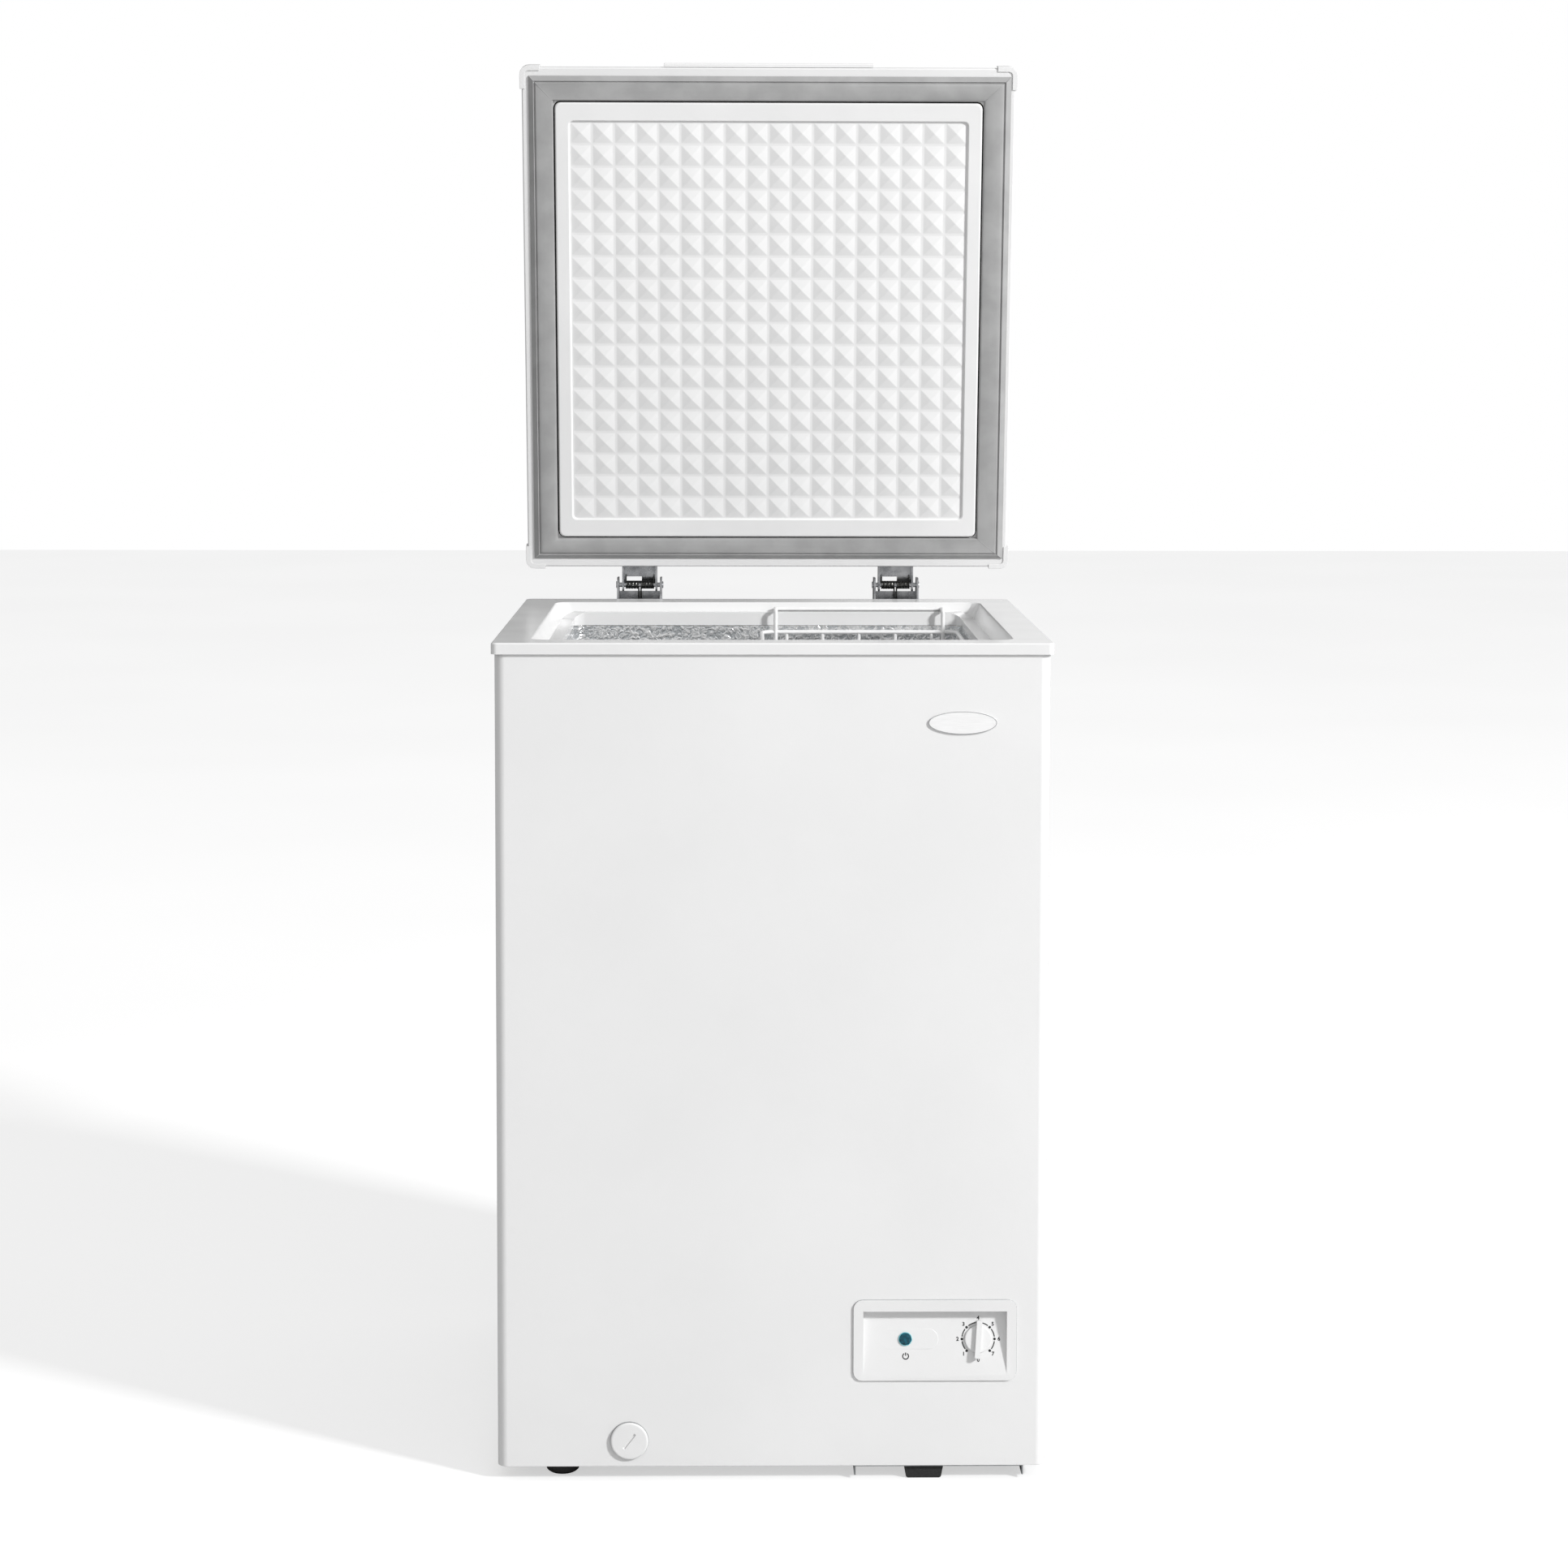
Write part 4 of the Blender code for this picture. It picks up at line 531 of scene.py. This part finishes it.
# node, piece name, finish, body, slot, edge radius in metres, bevel steps
softPieces = (
    ("top_collar", "collarMoulding", "collar", "cabinet", "white_plastic", 0.0011, 3),
    ("cabinet_wrap", "cabinetSheet", "enamel", "cabinet", "white_enamel", 0.0003, 1),
    ("inner_liner", "tubLining", "stucco", "cabinet", "stucco_aluminium", 0.0002, 1),
    ("control_bezel", "controlBezel", "moulded", "cabinet", "white_plastic", 0.0007, 3),
    ("compressor_base_plate", "basePlate", "zinc", "cabinet", "galvanised_steel", 0.0004, 2),
    ("bottom_panel", "bottomSheet", "zinc", "cabinet", "galvanised_steel", 0.0002, 1),
    ("machine_bay_panel", "bayTunnel", "zinc", "cabinet", "galvanised_steel", 0.0002, 1),
    ("back_panel", "backSheet", "zinc", "cabinet", "galvanised_steel", 0.0002, 1),
    ("rear_grille", "rearGrille", "zinc", "cabinet", "galvanised_steel", 0.0003, 2),
    ("compressor", "compressorShell", "black", "cabinet", "black_enamel", 0.0006, 2),
    ("start_relay", "startRelay", "black", "cabinet", "black_enamel", 0.0003, 1),
    ("thermostat_body", "thermostatBody", "zinc", "cabinet", "galvanised_steel", 0.0003, 1),
    ("round_foot_front", "roundFootFront", "rubber", "cabinet", "black_rubber", 0.0006, 2),
    ("round_foot_rear", "roundFootRear", "rubber", "cabinet", "black_rubber", 0.0006, 2),
    ("block_foot_front", "blockFootFront", "rubber", "cabinet", "black_rubber", 0.0008, 2),
    ("block_foot_rear", "blockFootRear", "rubber", "cabinet", "black_rubber", 0.0008, 2),
    ("cord_gland", "cordGland", "rubber", "cabinet", "black_rubber", 0.0004, 2),
    ("oval_badge", "ovalBadge", "badge", "cabinet", "silver_badge", 0.0004, 2),
    ("thermostat_knob", "thermostatKnob", "moulded", "knob", "white_plastic", 0.0005, 3),
    ("drain_cap", "drainCap", "moulded", "drain_cap", "white_plastic", 0.0004, 2),
    ("drain_tube", "drainTube", "moulded", "drain_tube", "white_plastic", 0.0003, 1),
    ("drain_plug", "drainPlug", "moulded", "drain_plug", "white_plastic", 0.0004, 2),
    ("hinge_bracket_left", "hingeBracketLeft", "nickel", "cabinet", "nickel_plate", 0.0004, 2),
    ("hinge_bracket_right", "hingeBracketRight", "nickel", "cabinet", "nickel_plate", 0.0004, 2),
    ("hinge_leaf_left", "hingeLeafLeft", "nickel", "lid", "nickel_plate", 0.0004, 2),
    ("hinge_leaf_right", "hingeLeafRight", "nickel", "lid", "nickel_plate", 0.0004, 2),
    ("lid_skin", "lidSheet", "enamel", "lid", "white_enamel", 0.0003, 1),
    ("lid_trim", "lidFrame", "moulded", "lid", "white_plastic", 0.0006, 2),
    ("lid_corner_cap_front_left", "cornerCapFrontLeft", "moulded", "lid", "white_plastic", 0.0005, 2),
    ("lid_corner_cap_front_right", "cornerCapFrontRight", "moulded", "lid", "white_plastic", 0.0005, 2),
    ("lid_corner_cap_rear_left", "cornerCapRearLeft", "moulded", "lid", "white_plastic", 0.0005, 2),
    ("lid_corner_cap_rear_right", "cornerCapRearRight", "moulded", "lid", "white_plastic", 0.0005, 2),
    ("lid_gasket", "magnetGasket", "gasket", "lid", "grey_pvc", 0.0004, 2),
    ("lid_handle", "pullStrip", "moulded", "lid", "white_plastic", 0.0005, 2),
    ("lid_inner_panel", "lidLining", "formed", "lid", "white_plastic", 0.0008, 3),
)
plainNodes = {
    "foam": ("cabinet_foam", "lid_foam"),
    "stucco": ("evaporator_coil",),
    "copper": ("condenser_coil", "filter_drier", "suction_line"),
    "rubber": tuple(f"compressor_grommet_{n}" for n in (1, 2, 3, 4)),
    "lens": ("pilot_lens",),
    "zinc": ("thermostat_spindle",),
    "nickel": tuple(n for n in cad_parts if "screw" in n or n.startswith("hinge_pin")),
    "spring": ("hinge_spring_left", "hinge_spring_right"),
    "wire": ("basket",),
}


def dressNodes():
    for row in softPieces:
        softened(*row)
    for finish, nodes in plainNodes.items():
        for node in nodes:
            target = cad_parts[node]
            target.data.materials.clear()
            target.data.materials.append(finishes[finish])


pyramidSettings = {
    "rows": 18,
    "gap": 0.0018,             # half the flat strip between two pyramids
    "height": 0.0030,
    "backing": 0.0008,
    "soften": 0.0005,
    "rise": 0.0024,            # the field's level below the lid's frame
    "border": (0.0157, 0.0205),   # flat edge of the lining at the sides, and at the near and far ends
}


def makePyramids(settings):
    # the field of low pyramids formed into the lid's lining
    borderX, borderY = settings["border"]
    half = lining["half"] - borderX
    near = lining["near"] + borderY
    far = lining["far"] - borderY
    level = lidUnder - settings["rise"]
    bm = bmesh.new()
    rows = settings["rows"]
    bmesh.ops.create_grid(bm, x_segments=rows, y_segments=rows, size=0.5)
    bmesh.ops.scale(bm, vec=(2 * half, far - near, 1), verts=bm.verts)
    cells = list(bm.faces)
    bmesh.ops.inset_individual(bm, faces=cells, thickness=settings["gap"], depth=0.0)
    poked = bmesh.ops.poke(bm, faces=cells, offset=settings["height"], center_mode="MEAN")
    ridges = set()
    for face in poked["faces"]:
        ridges.update(face.edges)
    bmesh.ops.bevel(bm, geom=list(ridges), offset=settings["soften"], segments=2, profile=0.5,
                    affect="EDGES", material=-1)
    rim = [e for e in bm.edges if e.is_boundary]
    walls = bmesh.ops.extrude_edge_only(bm, edges=rim)["geom"]
    foot = [v for v in walls if isinstance(v, bmesh.types.BMVert)]
    bmesh.ops.translate(bm, vec=(0, 0, -settings["backing"]), verts=foot)
    border = [e for e in walls if isinstance(e, bmesh.types.BMEdge) and e.is_boundary]
    bmesh.ops.edgeloop_fill(bm, edges=border)
    bmesh.ops.rotate(bm, cent=(0, 0, 0), matrix=Matrix.Rotation(math.pi, 3, "X"), verts=bm.verts)
    bmesh.ops.translate(bm, vec=(0, (near + far) / 2, level), verts=bm.verts)
    openLid(bm)
    finishMesh(bm, "pyramidField", "formed", "lid", 60)


sealSettings = {
    "dart": 0.0008,      # radius of the foot pushed into the slot round the lining
    "dartDepth": 0.0012,
    "corner": 0.0068,
    "weld": 0.00035,     # radius of the bead along each corner mitre
    "shoulder": 0.001,   # nearer to the seal's base than this, the mitre has no bead
}


def makeSealDart(s):
    # the seal's foot, seen as a dark line between the seal and the lining: made black as painted shade of
    # the deep slot
    out = lining["half"] + s["dart"]
    near, far = lining["near"] - s["dart"], lining["far"] + s["dart"]
    level = lidUnder + s["dartDepth"]
    bm = bmesh.new()
    path = [(-out, near, level), (out, near, level), (out, far, level), (-out, far, level)]
    wirePath(bm, rounded(path, s["corner"], 6, closed=True), s["dart"], 8, closed=True)
    openLid(bm)
    # black finish: painted shade of the deep slot, not the seal's grey vinyl
    finishMesh(bm, "sealDartShade", "rubber", "lid", 60)


def makeSealWelds(s):
    # heat-welded mitres: the seal's own corner points, joined from its outer edge to its inner edge
    source = bmesh.new()
    source.from_mesh(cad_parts["lid_gasket"].data)
    bmesh.ops.remove_doubles(source, verts=source.verts, dist=0.00001)
    shut = Matrix.Rotation(lidOpen, 3, "X")
    bmesh.ops.rotate(source, cent=(0, pinY, pinZ), matrix=shut, verts=source.verts)
    points = [v.co.copy() for v in source.verts]
    source.free()
    base = max(p.z for p in points)
    middleX = sum(p.x for p in points) / len(points)
    middleY = sum(p.y for p in points) / len(points)
    bm = bmesh.new()
    for signX in (-1, 1):
        for signY in (-1, 1):
            mitre = [p for p in points if (p.x - middleX) * signX > 0 and (p.y - middleY) * signY > 0
                     and p.z < base - s["shoulder"]]
            mitre.sort(key=lambda p: -abs(p.x - middleX))
            wirePath(bm, [(p.x, p.y, p.z + s["weld"] * 0.4) for p in mitre], s["weld"], 8)
    openLid(bm)
    finishMesh(bm, "sealWelds", "gasket", "lid", 60)


basketSettings = {
    "x": (-0.0093, 0.2079),
    "y": (0.060, 0.470),      # from the collar's front
    "rim": 0.782,
    "height": 0.200,
    "rimWire": 0.0023,        # radii
    "wire": 0.0018,
    "uprightX": (0.0203, 0.0594, 0.0990, 0.1385, 0.1780),
    "crossCount": 9,
    "crossUp": 0.0034,        # cross wires lie on the long wires
    "hoops": (0.055, 0.110, 0.160),   # drops below the rim
    "hoopIn": 0.0038,         # hoops lie inside the upright wires
    "corner": 0.014,
    "bend": 0.010,
    "hangers": (0.0083, 0.1905),
    "hangerTop": 0.8078,
    "hangerFoot": 0.030,      # how far the hangers run down below the rim
    "hangerBend": 0.0030,
    "ledge": 0.8028,
    "hooks": (0.0425, 0.4855),
}


def makeBasket(s):
    # welded round wire: rim, hoops, long and cross wires, and the raised hangers
    bm = bmesh.new()
    x0, x1 = s["x"]
    y0, y1 = (frontY + v for v in s["y"])
    rim, low = s["rim"], s["rim"] - s["height"]
    inset = s["rimWire"]
    hoop = [(x0, y0), (x1, y0), (x1, y1), (x0, y1)]

    def loop(z, pull, radius):
        pulled = [(x + (pull if x == x0 else -pull), y + (pull if y == y0 else -pull), z) for x, y in hoop]
        wirePath(bm, rounded(pulled, s["corner"], 6, closed=True), radius, 12, closed=True)

    loop(rim - 0.0006, inset, s["rimWire"])
    for drop in s["hoops"]:
        loop(rim - drop, inset + s["hoopIn"], s["wire"])
    loop(low + s["wire"], inset + s["hoopIn"], s["wire"])
    near, far = y0 + inset, y1 - inset
    left, right = x0 + inset, x1 - inset
    floor = low + s["wire"]
    for x in s["uprightX"]:
        path = [(x, near, rim), (x, near, floor), (x, far, floor), (x, far, rim)]
        wirePath(bm, rounded(path, s["bend"], 5), s["wire"], 10)
    count = s["crossCount"]
    for i in range(count):
        y = near + (far - near) * (i + 0.5) / count
        path = [(left, y, rim), (left, y, floor + s["crossUp"]), (right, y, floor + s["crossUp"]),
                (right, y, rim)]
        wirePath(bm, rounded(path, s["bend"], 5), s["wire"], 10)
    thick = s["rimWire"]
    for end, hook, side in ((far, frontY + s["hooks"][1], -1), (near, frontY + s["hooks"][0], 1)):
        top = s["hangerTop"] - thick
        rest = s["ledge"] + thick + 0.0002
        hang = hook - side * s["wire"]
        post = end + side * 0.0006
        for x in s["hangers"]:
            path = [(x, post, rim - s["hangerFoot"]), (x, post, top), (x, hang, top), (x, hang, rest)]
            wirePath(bm, rounded(path, s["hangerBend"], 4), thick, 12)
        wirePath(bm, [(x, hang, rest) for x in s["hangers"]], thick * 0.8, 12)
    piece = finishMesh(bm, "wireBasket", "wire", "basket", 50)
    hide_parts("basket")


springSettings = {
    "wire": 0.00085,
    "coil": 0.0039,
    "turns": 8,
    "reach": 0.0155,
    "gap": 0.0013,
    "leg": 0.0255,
    "hook": 0.002,            # how far the middle leg's end dips
    "tail": 0.009,            # how far each outer end rises
}


def makeSpring(side, s):
    # double torsion spring: two coils on the pin joined by a long middle leg
    low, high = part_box(f"hinge_spring_{side}")
    middle = (low.x + high.x) / 2
    bend = pinZ - s["leg"] + s["hook"]
    bm = bmesh.new()
    for sign in (-1, 1):
        points = []
        steps = s["turns"] * 16
        for i in range(steps + 1):
            angle = 2 * math.pi * s["turns"] * i / steps
            x = middle + sign * (s["gap"] + (s["reach"] - s["gap"]) * i / steps)
            points.append((x, pinY + s["coil"] * math.cos(angle), pinZ + s["coil"] * math.sin(angle)))
        start = [(middle + sign * s["gap"], pinY + s["coil"], bend)]
        wirePath(bm, start + points, s["wire"], 8)
        tail = [points[-1], (points[-1][0], points[-1][1], pinZ + s["tail"])]
        wirePath(bm, tail, s["wire"], 8)
    foot = [(middle - s["gap"], pinY + s["coil"], bend), (middle, pinY + s["coil"], pinZ - s["leg"]),
            (middle + s["gap"], pinY + s["coil"], bend)]
    wirePath(bm, foot, s["wire"], 8)
    piece = finishMesh(bm, f"torsionSpring{side.title()}", "spring", "cabinet", 50)
    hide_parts(f"hinge_spring_{side}")


badgeSettings = {
    "reach": (0.0322, 0.0106),   # half sizes of the rim line
    "line": 0.00032,
    "steps": 72,
}


def makeBadgeRim(s):
    # fine stamped rim round the blank oval
    low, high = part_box("oval_badge")
    middle = (low + high) / 2
    points = [(middle.x + x, low.y, middle.z + z) for x, z in ovalPath(*s["reach"], s["steps"])]
    bm = bmesh.new()
    wirePath(bm, points, s["line"], 8, closed=True)
    finishMesh(bm, "badgeRim", "line", "cabinet", 60)


dialSettings = {
    "centre": (0.1990, 0.1375),
    "lamp": (0.1286, 0.1377),
    "floorRun": 0.061,
    "floorDrop": 0.0095,
    "floorStart": 0.1050,
    "face": 0.0012,           # bezel face behind the collar's front
    "dotRing": 0.01575,
    "dot": 0.00130,
    "numberRing": 0.0200,
    "numberSize": 0.0050,
    "numberWeight": 0.00018,
    "line": 0.00052,          # half the width of a printed line
    "film": 0.00006,
    "zeroMark": (0.0028, 0.0010),
    "zeroOut": 0.0006,        # how far the bar at 0 stands outside the ring of dots
    "clear": 0.00003,         # how far the print stands off the floor
    "icon": (0.0003, -0.0162),   # centre of the on sign, from the lamp
    "iconRadius": 0.0028,
    "iconBar": 0.0030,
    "island": (0.1035, 0.1604, 0.0096),   # left end, right end and half height of the faint oblong
    "step": 0.00022,          # how far the oblong stands proud
    "rimWire": 0.00042,       # the lens's edge: its radius, height and inset
    "rimLift": 0.0008,
    "rimInset": 0.0001,
    "rimSteps": 32,
    "ringSteps": 64,          # points round the drain cap's line
    "flange": 0.0016,         # thickness of the bezel in front of the sheet
    "shadeLineRadius": 0.00050,          # radius of the dark line where the bezel meets the sheet: painted shade of the joint
    "corner": 0.0100,         # radius of the bezel's corners
}


def onControlFloor(bm, centre, s):
    # lays a shape drawn flat, facing up, onto the sloping floor of the control recess
    tilt = math.atan2(s["floorDrop"], s["floorRun"])
    bmesh.ops.rotate(bm, cent=(0, 0, 0), matrix=Matrix.Rotation(math.pi / 2 - tilt, 3, "X"), verts=bm.verts)
    x, z = centre
    y = frontY + s["face"] + s["floorDrop"] * (z - s["floorStart"]) / s["floorRun"]
    bmesh.ops.translate(bm, vec=(x, y, z), verts=bm.verts)


def inkArc(bm, radius, width, start, end, thick):
    # a printed arc: a small upright rectangle spun about the centre, then closed at both ends
    arc = bmesh.new()
    bmesh.ops.create_grid(arc, x_segments=1, y_segments=1, size=0.5)
    bmesh.ops.delete(arc, geom=list(arc.faces), context="FACES_ONLY")
    bmesh.ops.scale(arc, vec=(width, thick, 1), verts=arc.verts)
    bmesh.ops.rotate(arc, cent=(0, 0, 0), matrix=Matrix.Rotation(math.pi / 2, 3, "X"), verts=arc.verts)
    bmesh.ops.translate(arc, vec=(radius, 0, thick / 2), verts=arc.verts)
    bmesh.ops.rotate(arc, cent=(0, 0, 0), matrix=Matrix.Rotation(start, 3, "Z"), verts=arc.verts)
    steps = max(6, int(abs(end - start) * 12))
    bmesh.ops.spin(arc, geom=list(arc.verts) + list(arc.edges), cent=(0, 0, 0), axis=(0, 0, 1),
                   angle=end - start, steps=steps)
    bmesh.ops.remove_doubles(arc, verts=arc.verts, dist=0.0000005)
    bmesh.ops.holes_fill(arc, edges=[e for e in arc.edges if e.is_boundary])
    absorb(bm, arc)


def inkText(bm, words, size, at, thick):
    curve = bpy.data.curves.new("digit", "FONT")
    curve.body = words
    curve.size = size
    curve.align_x = "CENTER"
    curve.align_y = "CENTER"
    curve.extrude = thick / 2
    curve.offset = dialSettings["numberWeight"]
    curve.resolution_u = 3
    holder = bpy.data.objects.new("digit", curve)
    scene.collection.objects.link(holder)
    bpy.context.view_layer.update()
    mesh = bpy.data.meshes.new_from_object(holder)
    part = bmesh.new()
    part.from_mesh(mesh)
    bpy.data.objects.remove(holder)
    bpy.data.meshes.remove(mesh)
    bmesh.ops.remove_doubles(part, verts=part.verts, dist=0.0000005)
    bmesh.ops.translate(part, vec=(at[0], at[1], thick / 2), verts=part.verts)
    absorb(bm, part)


def makeDialPrint(s):
    # dots, arcs and numbers 0 to 7 round the knob
    bm = bmesh.new()
    thick = s["film"]
    for number in range(8):
        angle = -math.pi / 2 - number * math.pi / 4
        x, y = math.cos(angle), math.sin(angle)
        if number:
            dot = bmesh.new()
            bmesh.ops.create_cone(dot, cap_ends=True, segments=20, radius1=s["dot"], radius2=s["dot"],
                                  depth=thick)
            bmesh.ops.translate(dot, vec=(x * s["dotRing"], y * s["dotRing"], thick / 2), verts=dot.verts)
            absorb(bm, dot)
        inkText(bm, str(number), s["numberSize"], (x * s["numberRing"], y * s["numberRing"]), thick)
    gap = math.radians(8)
    for number in range(1, 7):
        start = -math.pi / 2 - number * math.pi / 4 - gap
        end = -math.pi / 2 - (number + 1) * math.pi / 4 + gap
        inkArc(bm, s["dotRing"], 2 * s["line"], start, end, thick)
    mark = bmesh.new()
    bmesh.ops.create_cube(mark, size=1.0)
    bmesh.ops.scale(mark, vec=(*s["zeroMark"], thick), verts=mark.verts)
    bmesh.ops.translate(mark, vec=(0, -s["dotRing"] - s["zeroOut"], thick / 2), verts=mark.verts)
    absorb(bm, mark)
    onControlFloor(bm, s["centre"], s)
    bmesh.ops.translate(bm, vec=(0, -s["clear"], 0), verts=bm.verts)
    finishMesh(bm, "dialPrint", "ink", "cabinet", 40)


def makePowerMark(s):
    # the usual on sign under the lamp: a broken ring and a bar
    bm = bmesh.new()
    inkArc(bm, s["iconRadius"], 2 * s["line"], math.radians(120), math.radians(420), s["film"])
    bar = bmesh.new()
    bmesh.ops.create_cube(bar, size=1.0)
    bmesh.ops.scale(bar, vec=(2 * s["line"], s["iconBar"], s["film"]), verts=bar.verts)
    bmesh.ops.translate(bar, vec=(0, s["iconBar"] * 2 / 3, s["film"] / 2), verts=bar.verts)
    absorb(bm, bar)
    x, z = s["lamp"]
    onControlFloor(bm, (x + s["icon"][0], z + s["icon"][1]), s)
    bmesh.ops.translate(bm, vec=(0, -s["clear"], 0), verts=bm.verts)
    finishMesh(bm, "powerMark", "ink", "cabinet", 40)


def makeLampIsland(s):
    # shallow oblong round the lamp: level with the floor at its left end, a hair proud at its right
    left, right, half = s["island"]
    bm = bmesh.new()
    bmesh.ops.create_cube(bm, size=1.0)
    bmesh.ops.scale(bm, vec=(right - left, 2 * half, 4 * s["step"]), verts=bm.verts)
    corners = [e for e in bm.edges if abs(e.verts[0].co.z - e.verts[1].co.z) > s["step"]]
    bmesh.ops.bevel(bm, geom=corners, offset=half * 0.98, segments=12, profile=0.5, affect="EDGES",
                    material=-1)
    rim = [e for e in bm.edges if min(v.co.z for v in e.verts) > s["step"]]
    bmesh.ops.bevel(bm, geom=rim, offset=s["step"], segments=2, profile=0.5, affect="EDGES", material=-1)
    bmesh.ops.translate(bm, vec=((right - left) / 2, 0, -2 * s["step"]), verts=bm.verts)
    lean = math.atan2(1.6 * s["step"], right - left)
    bmesh.ops.rotate(bm, cent=(0, 0, 0), matrix=Matrix.Rotation(-lean, 3, "Y"), verts=bm.verts)
    bmesh.ops.translate(bm, vec=(left - s["lamp"][0], 0, 0), verts=bm.verts)
    onControlFloor(bm, s["lamp"], s)
    finishMesh(bm, "lampIsland", "moulded", "cabinet", 12)


def makeLampRim(s):
    # edge ring of the lamp's lens, in paler teal: a painted highlight
    low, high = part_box("pilot_lens")
    middle = (low + high) / 2
    radius = (high.x - low.x) / 2 - s["rimInset"]
    bm = bmesh.new()
    points = [(x, y, s["rimLift"]) for x, y in ovalPath(radius, radius, s["rimSteps"])]
    wirePath(bm, points, s["rimWire"], 8, closed=True)
    onControlFloor(bm, (middle.x, middle.z), s)
    finishMesh(bm, "lampRimHighlight", "lensHighlight", "cabinet", 60)


def makeBezelSeam(s):
    # dark line where the bezel's flange meets the painted sheet: painted shade of the joint
    low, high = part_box("control_bezel")
    level = frontY + s["face"] + s["flange"]
    path = [(low.x, level, low.z), (high.x, level, low.z), (high.x, level, high.z), (low.x, level, high.z)]
    bm = bmesh.new()
    wirePath(bm, rounded(path, s["corner"], 6, closed=True), s["shadeLineRadius"], 8, closed=True)
    finishMesh(bm, "bezelShadeLine", "line", "cabinet", 60)


def makeDrainRing(s):
    # fine dark line round the drain cap, where it sits on the sheet: painted shade of the joint
    low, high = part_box("drain_cap")
    middle = (low + high) / 2
    radius = (high.x - low.x) / 2
    level = frontY + s["face"] + s["flange"]
    points = [(middle.x + x, level, middle.z + z) for x, z in ovalPath(radius, radius, s["ringSteps"])]
    bm = bmesh.new()
    wirePath(bm, points, s["shadeLineRadius"], 8, closed=True)
    finishMesh(bm, "drainShadeRing", "line", "cabinet", 60)


dressNodes()
print("packed shapes dressed")
makePyramids(pyramidSettings)
makeSealDart(sealSettings)
makeSealWelds(sealSettings)
makeBasket(basketSettings)
print("lid lining and basket made")
for side in ("left", "right"):
    makeSpring(side, springSettings)
makeBadgeRim(badgeSettings)
makeDialPrint(dialSettings)
makePowerMark(dialSettings)
makeLampIsland(dialSettings)
makeLampRim(dialSettings)
makeBezelSeam(dialSettings)
makeDrainRing(dialSettings)
print("hinges and controls made")
makeStage(lightSettings)
makeCamera(cameraSettings)
print("camera and light set")
